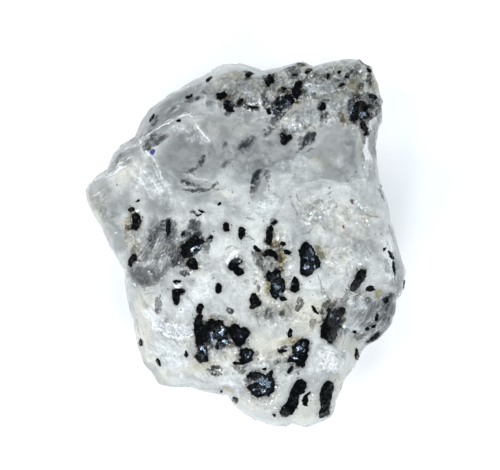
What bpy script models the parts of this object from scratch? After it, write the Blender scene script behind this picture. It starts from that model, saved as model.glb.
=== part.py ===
"""A rough lump of milky quartz, lying on its flattest break, with black mineral grains set in its surface.

The lump is the space inside an irregular plan outline, cut by flat and dished fracture faces. Each black grain
is a crystal of its own, sunk in a pocket that it opens at the surface. Millimetres, with the outline's middle
at x = y = 0 and the resting face at z = 0; +Y runs along the lump and +Z is up.
"""

import math
import random

import bmesh
import bpy
import numpy as np
from mathutils import Matrix, Vector, noise
from mathutils.bvhtree import BVHTree

STONE_LENGTH = 46.0
GRAIN_GAP = 0.3
LUMP_SUBDIVISIONS = 5
REST_SNAP = 0.02

# Plan outline, clockwise from the left tip.
OUTLINE = [
    (-20.0, 6.3), (-19.0, 8.1), (-17.4, 9.4), (-16.6, 11.2), (-15.7, 12.3), (-13.9, 13.4),
    (-13.1, 15.3), (-12.0, 16.8), (-10.4, 18.0), (-9.3, 18.9), (-8.3, 19.3), (-7.0, 20.2),
    (-4.5, 21.4), (-3.8, 22.0), (-2.2, 22.5), (-0.2, 22.4), (1.2, 22.0), (2.1, 21.6),
    (4.4, 22.1), (7.1, 22.8), (8.4, 22.2), (10.0, 22.6), (12.0, 22.95), (14.2, 23.0),
    (15.0, 22.4), (15.8, 21.6), (16.6, 19.3), (17.0, 18.0), (17.0, 15.2), (16.5, 13.5),
    (16.3, 12.0), (16.6, 9.5), (16.9, 7.4), (17.8, 5.2), (18.1, 2.8), (19.1, 0.1),
    (19.5, -2.1), (20.0, -2.9), (19.8, -5.8), (18.8, -7.3), (18.6, -8.9), (18.2, -10.2),
    (17.3, -11.2), (15.2, -12.7), (14.6, -13.1), (14.2, -14.5), (12.4, -17.2), (11.5, -19.5),
    (11.3, -21.0), (10.7, -21.9), (7.6, -23.0), (5.8, -22.6), (3.8, -22.9), (1.2, -22.1),
    (-0.9, -20.9), (-1.7, -19.5), (-3.8, -18.8), (-7.0, -18.0), (-9.2, -18.0), (-10.8, -17.6),
    (-11.9, -16.1), (-12.7, -15.3), (-13.4, -13.4), (-14.1, -9.8), (-15.0, -6.0), (-15.1, -3.4),
    (-16.6, -1.0), (-18.0, 1.9), (-19.4, 4.4),
]

# The side wall: widest at the rim, leaning in above and below it.
HEART = Vector((0.0, 0.0, 11.0))
RIM_HEIGHT = 9.5
WALL_REACH_UP = 14.0
WALL_LEAN_UP = 0.17
WALL_REACH_DOWN = 12.0
WALL_LEAN_DOWN = 0.45
REACH = 40.0
SLOPE_STEP = 0.3
EDGE_SOFTNESS = 0.25

# Flat fracture faces: a point on each, the way it faces in plan, and how far it is tipped up from level.
FLAT_BREAKS = {
    "main top": ((2.0, -6.0, 23.4), -90, 82),
    "upper band": ((2.0, 4.0, 23.8), 90, 68),
    "left": ((-9.0, 3.0, 21.8), 175, 57),
    "left edge": ((-17.0, 1.0, 15.5), 205, 35),
    "lower left": ((-12.0, -12.0, 19.3), 208, 62),
    "lower right": ((13.0, -14.0, 18.0), -40, 58),
    "right": ((16.0, 2.0, 19.0), 5, 52),
    "bottom lobe": ((5.0, -20.0, 19.6), -95, 60),
    "upper right": ((14.0, 20.0, 15.8), 50, 58),
    "upper left": ((-8.0, 17.0, 17.6), 125, 48),
    "under left": ((-13.0, 2.0, 4.2), 185, -42),
    "under right": ((14.0, -2.0, 3.6), -5, -46),
    "under top": ((1.0, 17.0, 3.8), 85, -40),
    "under bottom": ((1.0, -17.0, 3.4), -92, -44),
    "under corner": ((11.5, 14.0, 4.0), 48, -38),
}

# Conchoidal dishes: a point on the face that each was struck from, the way it faces, its radius and its depth.
DISHES = {
    "left window": ((-6.6, 11.4, 20.2), 105, 68, 6.2, 1.3),
    "right window": ((9.3, 11.2, 20.5), 80, 66, 6.0, 1.2),
    "middle window": ((1.6, 12.6, 20.1), 90, 68, 4.6, 0.7),
    "crescent": ((-9.4, -8.7, 21.2), 190, 68, 3.9, 1.0),
    "left lens": ((-12.8, -2.2, 19.3), 190, 58, 3.4, 0.9),
    "right chip": ((16.0, 12.6, 16.2), 10, 35, 5.0, 1.1),
    "lower right lobe": ((15.6, -10.0, 17.6), -25, 55, 5.0, 1.8),
    "lower right notch": ((14.8, -15.5, 12.0), -38, 10, 5.0, 1.2),
    "rough right": ((12.4, 2.4, 22.0), 20, 74, 5.2, 0.6),
    "centre": ((3.4, -9.0, 23.0), -90, 84, 4.4, 0.5),
    "bottom left side": ((-8.0, -16.6, 4.6), -100, -20, 5.0, 1.4),
    "left side": ((-14.6, -2.0, 4.4), 200, -24, 5.0, 1.2),
    "top side": ((2.0, 19.5, 4.6), 88, -22, 5.0, 1.2),
    "top left side": ((-11.0, 13.4, 4.4), 130, -20, 5.0, 1.0),
    "right side": ((16.6, 2.0, 4.2), 10, -24, 5.0, 1.2),
}

# Chips: small dishes all over the broken surface, with the range of their radius and of their depth over it.
CHIP_COUNT = 90
CHIP_RADIUS = (1.8, 4.2)
CHIP_DEPTH_SHARE = (0.1, 0.22)
CHIP_SEED = 11
CHIP_FREE_RIM = 0.45

# Broken-surface relief: size of the lumps and how far they stand out.
RELIEF = ((5.5, 0.3), (2.4, 0.26))

# Black grains seen from above: plan place, length, width, turn of the long axis from +X, and bend.
TOP_GRAINS = [
    (-13.6, 3.0, 2.0, 1.1, -65, 0.1), (-14.1, -2.0, 1.7, 0.85, 62, 0.0), (-6.7, -0.4, 2.8, 1.6, 48, 0.1),
    (-6.5, -2.7, 1.3, 1.3, 80, 0.0), (-2.45, 2.1, 1.0, 0.8, 80, 0.0), (-0.5, 1.45, 1.4, 0.7, 82, 0.0),
    (-1.3, -2.15, 1.3, 0.8, 25, 0.1), (-3.35, -5.45, 1.3, 0.7, 88, 0.0), (-8.65, -6.5, 2.1, 0.8, 93, 0.1),
    (-5.85, -9.3, 1.6, 0.8, 68, 0.0), (-5.65, -11.9, 2.4, 1.1, 92, 0.1), (-3.55, -10.2, 2.0, 1.3, 18, 0.1),
    (-3.5, -12.4, 1.8, 1.2, 40, 0.0), (-5.4, -14.4, 1.3, 1.2, 0, 0.0), (-0.75, -11.2, 2.2, 2.0, 100, 0.0),
    (0.2, -13.9, 1.7, 1.4, -40, 0.0), (1.9, -17.6, 3.0, 2.4, 15, 0.0), (5.9, -19.1, 5.0, 1.2, 57, 0.35),
    (10.05, -19.3, 4.6, 1.35, 84, -0.2), (7.1, -13.6, 3.3, 1.5, 68, 0.1), (10.4, -10.7, 3.2, 2.0, 105, 0.0),
    (1.1, -7.2, 1.9, 1.2, -50, 0.0), (3.85, -5.4, 3.0, 1.5, 82, 0.0), (2.8, -1.4, 1.7, 0.75, -8, 0.1),
    (2.95, 1.3, 2.4, 0.8, 84, 0.1), (6.15, -5.1, 1.7, 0.9, -72, 0.0), (7.85, -2.1, 3.8, 2.0, -72, 0.1),
    (13.9, -4.4, 3.2, 1.0, 58, -0.1), (4.85, 13.0, 1.5, 1.2, 40, 0.0), (4.9, 17.4, 3.0, 1.8, 55, 0.0),
    (6.75, 19.9, 1.6, 0.9, 72, 0.0), (2.9, 20.2, 1.2, 1.0, -60, 0.0), (-2.7, 18.4, 1.3, 0.85, 10, 0.0),
    (14.3, 17.2, 2.2, 1.5, 30, 0.0), (14.7, 14.5, 1.6, 0.8, -65, 0.0),
]

# Black grains in the side walls: direction round the lump, height, length, width and turn from level.
SIDE_GRAINS = [
    (-78, 11.0, 3.4, 1.3, 60), (-48, 7.5, 2.2, 1.1, 20), (-15, 12.0, 2.6, 1.2, 75), (25, 8.0, 3.0, 1.2, -40),
    (58, 11.5, 2.0, 1.2, 15), (98, 9.0, 3.2, 1.3, 50), (135, 7.0, 2.2, 1.0, -70), (172, 9.5, 2.4, 1.1, 35),
    (205, 12.5, 3.0, 1.2, -30), (238, 8.0, 2.8, 1.3, 65),
]
GRAIN_SIDES = 6
GRAIN_RINGS = 4
GRAIN_SUNK = 0.85
GRAIN_PROUD = 0.3
GRAIN_SQUARENESS = 0.72
GRAIN_UNEVENNESS = 0.14

QUARTZ_COLOUR = (0.78, 0.79, 0.77, 1.0)
GRAIN_COLOUR = (0.012, 0.014, 0.016, 1.0)


def facing(plan_angle, tip):
    """The unit direction that a face looks in."""
    turn, rise = math.radians(plan_angle), math.radians(tip)
    return np.array([math.cos(turn) * math.cos(rise), math.sin(turn) * math.cos(rise), math.sin(rise)])


def outline_reach(points):
    """How far the plan outline lies from the middle, in the direction of each point."""
    corners = np.array(OUTLINE)[::-1]
    angles = np.arctan2(corners[:, 1], corners[:, 0])
    order = np.argsort(angles)
    corners, angles = corners[order], angles[order]
    around = np.arctan2(points[:, 1], points[:, 0])
    after = np.searchsorted(angles, around) % len(corners)
    start, end = corners[after - 1], corners[after]
    step = end - start
    crossing = start[:, 0] * end[:, 1] - start[:, 1] * end[:, 0]
    return crossing / (np.cos(around) * step[:, 1] - np.sin(around) * step[:, 0])


def ball_through(radius, depth):
    """The radius of the ball that leaves a dish of this radius and depth."""
    return (radius**2 + depth**2) / (2.0 * depth)


def larger(first, second):
    """The larger of two distances, rounded where they are nearly equal, as a worn edge is."""
    share = np.clip(0.5 + 0.5 * (first - second) / EDGE_SOFTNESS, 0.0, 1.0)
    return second + (first - second) * share + EDGE_SOFTNESS * share * (1.0 - share) / 2.0


def outside(points, chips=()):
    """About how far each point lies outside the lump; below zero inside it."""
    above = np.clip((points[:, 2] - RIM_HEIGHT) / WALL_REACH_UP, 0.0, None)
    below = np.clip((RIM_HEIGHT - points[:, 2]) / WALL_REACH_DOWN, 0.0, None)
    width = 1.0 - WALL_LEAN_UP * above**2 - WALL_LEAN_DOWN * below**2
    found = np.hypot(points[:, 0], points[:, 1]) - outline_reach(points) * width
    for place, plan_angle, tip in FLAT_BREAKS.values():
        found = larger(found, (points - place) @ facing(plan_angle, tip))
    for place, plan_angle, tip, radius, depth in DISHES.values():
        ball = ball_through(radius, depth)
        centre = place + facing(plan_angle, tip) * (ball - depth)
        found = larger(found, ball - np.linalg.norm(points - centre, axis=1))
    for centre, ball in chips:
        found = larger(found, ball - np.linalg.norm(points - centre, axis=1))
    return found


def surface_along(directions, chips=()):
    """The point of the lump's surface on each ray from its heart, found by halving."""
    near, far = np.zeros(len(directions)), np.full(len(directions), REACH)
    for _ in range(30):
        middle = (near + far) / 2.0
        inside = outside(np.array(HEART) + directions * middle[:, None], chips) < 0.0
        near, far = np.where(inside, middle, near), np.where(inside, far, middle)
    return np.array(HEART) + directions * near[:, None]


def chip_balls():
    """The centre and radius of the ball that struck out each chip, spread evenly over the lump."""
    chance = random.Random(CHIP_SEED)
    ways = np.array([Vector([chance.gauss(0.0, 1.0) for _ in range(3)]).normalized() for _ in range(CHIP_COUNT)])
    places = surface_along(ways)
    steps = np.eye(3) * SLOPE_STEP
    slopes = np.array([outside(places + step) - outside(places - step) for step in steps]).T
    slopes /= np.linalg.norm(slopes, axis=1)[:, None]
    balls = []
    for place, slope in zip(places, slopes):
        if abs(slope[2]) < CHIP_FREE_RIM:
            continue
        radius = chance.uniform(*CHIP_RADIUS)
        depth = radius * chance.uniform(*CHIP_DEPTH_SHARE)
        ball = ball_through(radius, depth)
        balls.append((place + slope * (ball - depth), ball))
    return balls


def relief_at(point):
    """How far the broken surface stands out at a point."""
    total = sum(height * noise.noise(point / size) for size, height in RELIEF)
    wall = min(1.0, max(0.0, point.z / 3.0))
    return total * wall


def rough_lump():
    """The lump with no pockets, cut off level at the face that it rests on."""
    shape = bmesh.new()
    bmesh.ops.create_icosphere(shape, subdivisions=LUMP_SUBDIVISIONS, radius=1.0)
    directions = np.array([vertex.co.normalized() for vertex in shape.verts])
    for vertex, place in zip(shape.verts, surface_along(directions, chip_balls())):
        vertex.co = place
    shape.normal_update()
    moves = [vertex.normal * relief_at(vertex.co) for vertex in shape.verts]
    for vertex, move in zip(shape.verts, moves):
        vertex.co += move
    cut = bmesh.ops.bisect_plane(
        shape, geom=shape.verts[:] + shape.edges[:] + shape.faces[:], dist=REST_SNAP,
        plane_co=(0.0, 0.0, 0.0), plane_no=(0.0, 0.0, 1.0), clear_inner=True,
    )
    rim = [item for item in cut["geom_cut"] if isinstance(item, bmesh.types.BMEdge)]
    for edge in rim:
        for vertex in edge.verts:
            vertex.co.z = 0.0
    bmesh.ops.contextual_create(shape, geom=rim)
    bmesh.ops.recalc_face_normals(shape, faces=shape.faces)
    return shape


def grain_shape(length, width, bend, grow, seed):
    """One crystal along X, its worn top near z = 0 and its root below. grow widens it all round."""
    shape = bmesh.new()
    bmesh.ops.create_uvsphere(shape, u_segments=GRAIN_SIDES, v_segments=GRAIN_RINGS, radius=1.0)
    bmesh.ops.rotate(shape, verts=shape.verts, matrix=Matrix.Rotation(math.pi / 2.0, 3, "Y"))
    for vertex in shape.verts:
        ball = vertex.co.copy()
        bumpy = 1.0 - GRAIN_UNEVENNESS * (0.5 + 0.5 * noise.noise(ball * 1.7 + Vector((seed, 0.0, 0.0))))
        x, y, z = (math.copysign(abs(part) ** GRAIN_SQUARENESS, part) * bumpy for part in ball)
        height = GRAIN_PROUD if z > 0.0 else GRAIN_SUNK * width
        vertex.co = (
            x * (length / 2.0 + grow),
            y * (width / 2.0 + grow) + bend * (1.0 - 2.0 * x * x),
            z * (height + grow),
        )
    return shape


def seat_on(tree, start, towards, length_way):
    """The placing of a grain where a ray meets the lump, its Z out of the surface and its X along length_way."""
    place, out, _, _ = tree.ray_cast(start, towards)
    out = (out - towards).normalized()
    along = (length_way - length_way.dot(out) * out).normalized()
    turned = Matrix((along, out.cross(along), out)).transposed().to_4x4()
    return Matrix.Translation(place) @ turned


def grain_seats(lump):
    """Every grain's size and placing: (length, width, bend, matrix)."""
    tree = BVHTree.FromBMesh(lump)
    seats = []
    for x, y, length, width, turn, bend in TOP_GRAINS:
        way = Vector((math.cos(math.radians(turn)), math.sin(math.radians(turn)), 0.0))
        seats.append((length, width, bend, seat_on(tree, Vector((x, y, REACH)), Vector((0, 0, -1)), way)))
    for around, height, length, width, turn in SIDE_GRAINS:
        outward = Vector((math.cos(math.radians(around)), math.sin(math.radians(around)), 0.0))
        level = Vector((-outward.y, outward.x, 0.0))
        way = level * math.cos(math.radians(turn)) + Vector((0, 0, math.sin(math.radians(turn))))
        start = outward * REACH + Vector((0.0, 0.0, height))
        seats.append((length, width, 0.0, seat_on(tree, start, -outward, way)))
    return seats


def true_size(lump):
    """The matrix that gives the lump its real length in metres, with its middle at x = y = 0."""
    places = np.array([vertex.co for vertex in lump.verts])
    low, high = places.min(axis=0), places.max(axis=0)
    middle = Vector(((low[0] + high[0]) / 2.0, (low[1] + high[1]) / 2.0, 0.0))
    return Matrix.Scale(0.001 * STONE_LENGTH / (high[1] - low[1]), 4) @ Matrix.Translation(-middle)


def add_object(name, shape, matrix, material, collection):
    """Puts a shape into the scene at its place and real size."""
    bmesh.ops.transform(shape, verts=shape.verts, matrix=matrix)
    mesh = bpy.data.meshes.new(name)
    shape.to_mesh(mesh)
    shape.free()
    made = bpy.data.objects.new(name, mesh)
    mesh.materials.append(material)
    collection.objects.link(made)
    return made


def material_of(name, colour, roughness, clearness):
    made = bpy.data.materials.new(name)
    made.use_nodes = True
    shader = made.node_tree.nodes["Principled BSDF"]
    shader.inputs["Base Color"].default_value = colour
    shader.inputs["Roughness"].default_value = roughness
    shader.inputs["Transmission Weight"].default_value = clearness
    return made


def clear_scene():
    for made in list(bpy.data.objects):
        bpy.data.objects.remove(made)


def build():
    clear_scene()
    stone = bpy.data.collections.new("black_rutilated_quartz")
    pockets = bpy.data.collections.new("grain_pockets")
    for group in (stone, pockets):
        bpy.context.scene.collection.children.link(group)
    milky = material_of("milky_quartz", QUARTZ_COLOUR, 0.35, 0.3)
    black = material_of("black_mineral", GRAIN_COLOUR, 0.3, 0.0)

    lump = rough_lump()
    size = true_size(lump)
    for number, (length, width, bend, seat) in enumerate(grain_seats(lump), 1):
        grain = grain_shape(length, width, bend, 0.0, number)
        add_object(f"black_grain_{number:02d}", grain, size @ seat, black, stone)
        pocket = grain_shape(length, width, bend, GRAIN_GAP, number)
        cutter = add_object(f"pocket_{number:02d}", pocket, size @ seat, black, pockets)
        cutter.hide_render = True
        cutter.display_type = "WIRE"

    quartz = add_object("quartz", lump, size, milky, stone)
    cut = quartz.modifiers.new("grain pockets", "BOOLEAN")
    cut.operation = "DIFFERENCE"
    cut.operand_type = "COLLECTION"
    cut.collection = pockets


build()
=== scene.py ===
"""A rough lump of milky to clear quartz with black mineral grains in it, lying on a pale table."""

import math

import bmesh
import bpy
import numpy as np
from mathutils import Matrix, Vector, noise
from mathutils.bvhtree import BVHTree


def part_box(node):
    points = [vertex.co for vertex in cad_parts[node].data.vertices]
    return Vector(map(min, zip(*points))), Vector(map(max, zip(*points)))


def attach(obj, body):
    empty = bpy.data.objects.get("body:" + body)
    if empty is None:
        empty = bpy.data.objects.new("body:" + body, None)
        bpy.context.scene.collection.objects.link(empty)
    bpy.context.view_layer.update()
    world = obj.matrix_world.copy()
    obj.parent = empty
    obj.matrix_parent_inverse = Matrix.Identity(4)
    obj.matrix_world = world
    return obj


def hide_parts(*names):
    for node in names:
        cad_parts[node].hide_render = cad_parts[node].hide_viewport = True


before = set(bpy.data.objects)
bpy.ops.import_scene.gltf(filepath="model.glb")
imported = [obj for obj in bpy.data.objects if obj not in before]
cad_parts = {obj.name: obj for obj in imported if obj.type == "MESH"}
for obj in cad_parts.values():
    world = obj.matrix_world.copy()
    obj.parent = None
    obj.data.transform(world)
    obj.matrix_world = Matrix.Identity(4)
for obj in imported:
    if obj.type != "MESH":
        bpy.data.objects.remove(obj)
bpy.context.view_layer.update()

# The quartz: one lump, broken on every side. Its breaks are shell-shaped, smooth and glassy over the clear parts
# and finely splintered over the milky ones. It comes from its solid with the grain pockets closed, because the
# grains that fill them are grown fast into it.
MM = 0.001
MERGE = 1e-6
POCKET_GAP = 0.55 * MM
SKIN_VOXEL = 0.27 * MM
SKIN_SMOOTHING = 6
CALM_SMOOTHING = 14

# Patches of the top seen from above, in millimetres: middle, half length, half width, turn, and strength.
# Clear ones show grey and let the deep grains through, rough ones are splintered, stained ones hold iron rust,
# warm ones are cream, and smoky ones have fine dark mineral under the skin.
CLEAR_PATCHES = [
    (-6, 11.8, 6.4, 4.2, 24, 0.9), (1.5, 11.4, 5.5, 4, 10, 0.75), (11.6, 11.4, 4, 3.8, 60, 0.72),
    (-10.5, 16.2, 7.5, 2, 38, 0.9), (-2, 20, 5, 2.2, 10, 0.6), (-12.9, -3.9, 2.5, 1.5, -10, 1),
    (-10.6, 1, 2.6, 2.8, 20, 0.6), (-5.6, 0.6, 2.2, 2, 40, 0.5), (1.3, 7, 1.6, 2.6, -10, 0.5),
    (16.2, -9.4, 3.4, 2.6, 60, 0.8), (3.4, -8.4, 3.2, 1.4, 0, 0.6), (16.5, 11.5, 5, 1, 88, 0.5),
    (-17.6, 5.2, 3.8, 1.8, -60, 0.7), (3.6, -2.6, 1.4, 1.6, 80, 0.5), (11.4, 18, 3.4, 2.4, 0, 0.55),
    (19.2, -3.6, 0.9, 3.6, 0, 0.8), (-4, -12, 1.8, 1.6, 0, 0.4), (7, 16.4, 2.6, 2, 0, 0.5),
    (-15.8, 10.6, 3.4, 0.9, 32, 0.7), (-11.4, 4.8, 3.6, 1.6, -10, 0.6), (-15.4, 5.6, 2, 1.6, 0, 0.45),
    (-16.4, 1, 1.8, 2.8, 30, 0.7), (-0.2, 15.3, 4.2, 1.4, 0, 0.6), (5, 4.5, 2.4, 1.6, 40, 0.35),
]
ROUGH_PATCHES = [
    (8.4, 20.2, 9, 2.6, 0, 1), (1, 18.2, 4.6, 1.9, 0, 0.95), (14.5, 17, 2.8, 3.8, 0, 1),
    (-2.8, 19.8, 3.6, 2.2, 15, 0.5), (6.6, 14.8, 2.8, 1.7, 20, 0.8), (9.4, 3.6, 3.6, 2.4, -20, 0.6),
    (13.6, 3.8, 3, 2.2, 0, 0.55), (12.6, -1.6, 5.4, 3.2, 0, 0.45), (3.6, -2.4, 2.4, 5.4, 0, 0.8),
    (-1.4, -2.4, 1.9, 2, 0, 0.5), (-14.2, 1.2, 1.2, 3.2, 0, 0.8), (-10.2, 0.2, 3, 3.2, 20, 0.6),
    (-7, -1.2, 2.4, 2.8, 0, 0.8), (-3.6, -11.8, 4, 3.2, 0, 0.9), (3.6, -8.6, 4.4, 1.6, 0, 0.7),
    (1.8, -17.8, 2.6, 2.4, 0, 0.8), (3.4, -14.8, 2.4, 1.5, 0, 0.8), (6, -13.6, 2.4, 2.2, 0, 0.7),
    (10.6, -14.4, 1.7, 2, 0, 1), (10.8, -9.6, 2.6, 3, 0, 0.8), (15.8, -9.6, 2.8, 2.6, 0, 0.85),
    (-9.4, -11, 3.2, 1, -22, 0.8), (-0.4, -14.6, 2, 1.2, 0, 0.7), (13.6, -6.8, 2, 1.4, 0, 0.8),
    (10.6, 15.8, 2.2, 1.8, 0, 0.6), (-3.6, -16, 1.6, 1.2, 0, 0.5), (2, -20, 3.6, 1.2, -20, 0.5),
]
STAIN_PATCHES = [
    (3.8, -0.1, 0.9, 0.5, -10, 1), (4.5, -1.8, 1.5, 0.5, 84, 1), (2.6, -5.2, 1.4, 0.4, 85, 0.8),
    (9.2, -0.8, 1.3, 0.7, -60, 0.6), (16.7, -6.3, 0.8, 0.6, 20, 0.8), (-14.6, 2.6, 1.6, 0.4, 80, 0.6),
    (5.9, -11.9, 1.1, 0.5, 10, 0.8), (-2.3, -18.5, 1.1, 0.5, -10, 0.6), (15.8, 19.4, 1.1, 0.8, 0, 0.6),
    (12, 15.5, 1.1, 0.7, -60, 0.35), (13.2, 18.9, 1.3, 0.6, -10, 0.7), (-1.2, 21.1, 1.3, 0.5, 10, 0.4),
    (-16.5, 10.3, 1, 0.4, 30, 0.4), (-4.4, -9.4, 1, 0.4, 30, 0.7), (-5.4, -15, 1.6, 0.7, 10, 0.45),
    (14.5, 12.2, 2.2, 0.3, 86, 0.6), (6.3, 17.2, 1.4, 0.5, 20, 0.6), (7.6, 22, 1.4, 0.5, 10, 0.5),
    (4.4, 19.2, 0.9, 0.6, 0, 0.5), (-1.6, 19, 1.3, 0.5, 0, 0.4), (-2, 18.2, 0.6, 0.4, 0, 0.5),
    (4.6, -12.3, 0.9, 0.4, 20, 0.5), (-13.6, -0.6, 0.9, 0.4, 90, 0.4), (0.8, 20.6, 0.9, 0.4, 0, 0.4),
]
WARM_PATCHES = [
    (-13, -10, 1.6, 5, 0, 0.9), (-12.4, -14.4, 1.6, 1.6, 0, 0.6), (-5.6, -15.2, 3, 1.4, 10, 1),
    (3, -12.8, 3, 2.2, 0, 0.7), (8, -20.6, 4.4, 1.8, 10, 0.6), (0.2, -20.2, 3, 1.6, -20, 0.5),
    (11.8, -17.4, 1.2, 2.6, -20, 0.8), (13.5, 2.5, 3.8, 3.2, 0, 0.4), (3.5, -6.8, 3.6, 2.6, 0, 0.6),
    (7.8, -9, 2.6, 2.6, 0, 0.8), (-10.4, -16.5, 1.8, 1, 0, 0.6), (-15.2, 8.8, 3.2, 1.6, 30, 0.6),
    (-18.4, 4, 1.3, 3.6, 20, 0.6), (-14.5, 1, 0.9, 3, 0, 0.8), (13.4, -14.4, 1, 1.8, 0, 0.8),
    (-1.6, 20.5, 3, 1.4, 5, 0.6), (2, 19.6, 3.2, 2, 0, 0.5), (12, 18.8, 3.8, 1.6, 0, 0.7),
    (7.4, 22, 2, 0.8, 10, 0.7), (9.4, 10.4, 1.8, 1.2, 0, 0.5), (-0.6, 14.6, 2.6, 1.4, 0, 0.35),
    (-6.5, 14.5, 2.5, 1.6, 20, 0.3), (-3.4, 6.4, 2, 0.8, 0, 0.4), (12.6, -12.6, 1.6, 1.3, 0, 0.6),
    (11.6, -2.2, 2.2, 1.8, 0, 0.5),
]
SMOKY_PATCHES = [
    (-5.2, 10.7, 0.8, 0.4, 30, 0.8), (-5.75, 9.85, 0.9, 0.4, 35, 0.8), (-6.9, 8.9, 0.8, 0.5, 40, 0.6),
    (0.1, 12.3, 1.6, 0.8, 35, 0.75), (-2.8, 12, 0.9, 0.4, 70, 0.5), (-2.4, 10.1, 1.1, 0.5, 50, 0.45),
    (2.9, 14.1, 1.1, 0.6, 50, 0.7), (2.6, 13.1, 0.8, 0.4, 0, 0.5), (3.3, 15.3, 1.2, 0.5, 40, 0.5),
    (1.1, 6.9, 1.4, 0.5, 88, 0.85), (1.5, 8.5, 1, 0.5, 52, 0.9), (1, 5.6, 0.7, 0.5, 90, 0.45),
    (7.8, 13.1, 1.4, 0.8, 50, 0.8), (-12.4, 12.5, 1, 0.8, 40, 0.75), (-11, 13.2, 1.5, 0.7, 20, 0.65),
    (-6.6, 0.2, 2.2, 1.2, 60, 0.85), (-6.4, 2.2, 0.8, 0.6, 0, 0.6), (-8, -2, 1.5, 1.1, 30, 0.8),
    (-10.9, 1.6, 1.2, 0.6, 60, 0.5), (-9.4, 1.5, 2, 0.8, 88, 0.6), (-4.8, -0.5, 0.7, 0.4, 90, 0.5),
    (1.5, -2, 1.5, 0.6, -55, 0.6), (4.8, 16.8, 1, 0.7, 40, 0.8), (2.4, 17.8, 1.2, 0.4, -80, 0.5),
    (-0.6, 17.4, 2.2, 0.6, 0, 0.6), (14.6, 16.4, 2.2, 1.6, 20, 0.7), (18, -7.9, 1, 2.1, -10, 0.95),
    (16.2, -11.4, 1.4, 0.7, 50, 0.8), (-4.3, -11.4, 1.4, 1.1, 40, 0.6), (2.9, -8.6, 0.8, 0.8, 0, 0.5),
    (12.9, 12.4, 1, 1, 0, 0.35), (12.3, 9.6, 1.5, 1, 0, 0.35), (9.3, 7.3, 1.2, 0.7, 0, 0.35),
    (12.2, 6.4, 1.4, 0.6, 0, 0.3), (-17.4, 4.6, 1.8, 3.4, 20, 0.5), (-16.2, 10.9, 1, 0.5, 50, 0.5),
    (-9, -9.3, 1.8, 0.9, 0, 0.3), (6, 21.6, 1.4, 0.9, 20, 0.6), (15.4, 21.9, 0.7, 0.4, -45, 0.8),
    (9.4, 16.9, 0.7, 1.1, 0, 0.6), (8.4, 18.8, 9.5, 4.6, 0, 0.52), (-9, 17, 7, 2.6, 36, 0.34),
    (16.4, -9.4, 3.6, 3.2, 0, 0.56), (-10.4, -0.6, 3.6, 4.2, 20, 0.68), (-0.6, 18.6, 5, 2.8, 0, 0.6),
    (2.8, 13.4, 4.6, 3, 20, 0.42), (-13, -4.1, 2.4, 1.5, -6, 0.95), (3, -9.6, 3, 2.4, 0, 0.3),
    (-6, 12, 4.4, 3.2, 30, 0.36), (1, 11.2, 5.4, 3.2, 10, 0.48), (-0.2, 15.4, 4.2, 1.4, 0, 0.45),
    (6.6, 14.8, 2.4, 1.4, 10, 0.45), (16, -9, 2.4, 1.8, 60, 0.66), (3.4, -12.6, 2.4, 1.8, 0, 0.2),
    (12.7, 12.8, 1.9, 1.1, 70, 0.4), (9.8, 13, 1.4, 0.7, 30, 0.3), (-10.2, -7, 2.6, 2.2, 0, 0.18),
]
PATCH_CORE = 0.55
PATCH_FADE = 0.7

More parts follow.
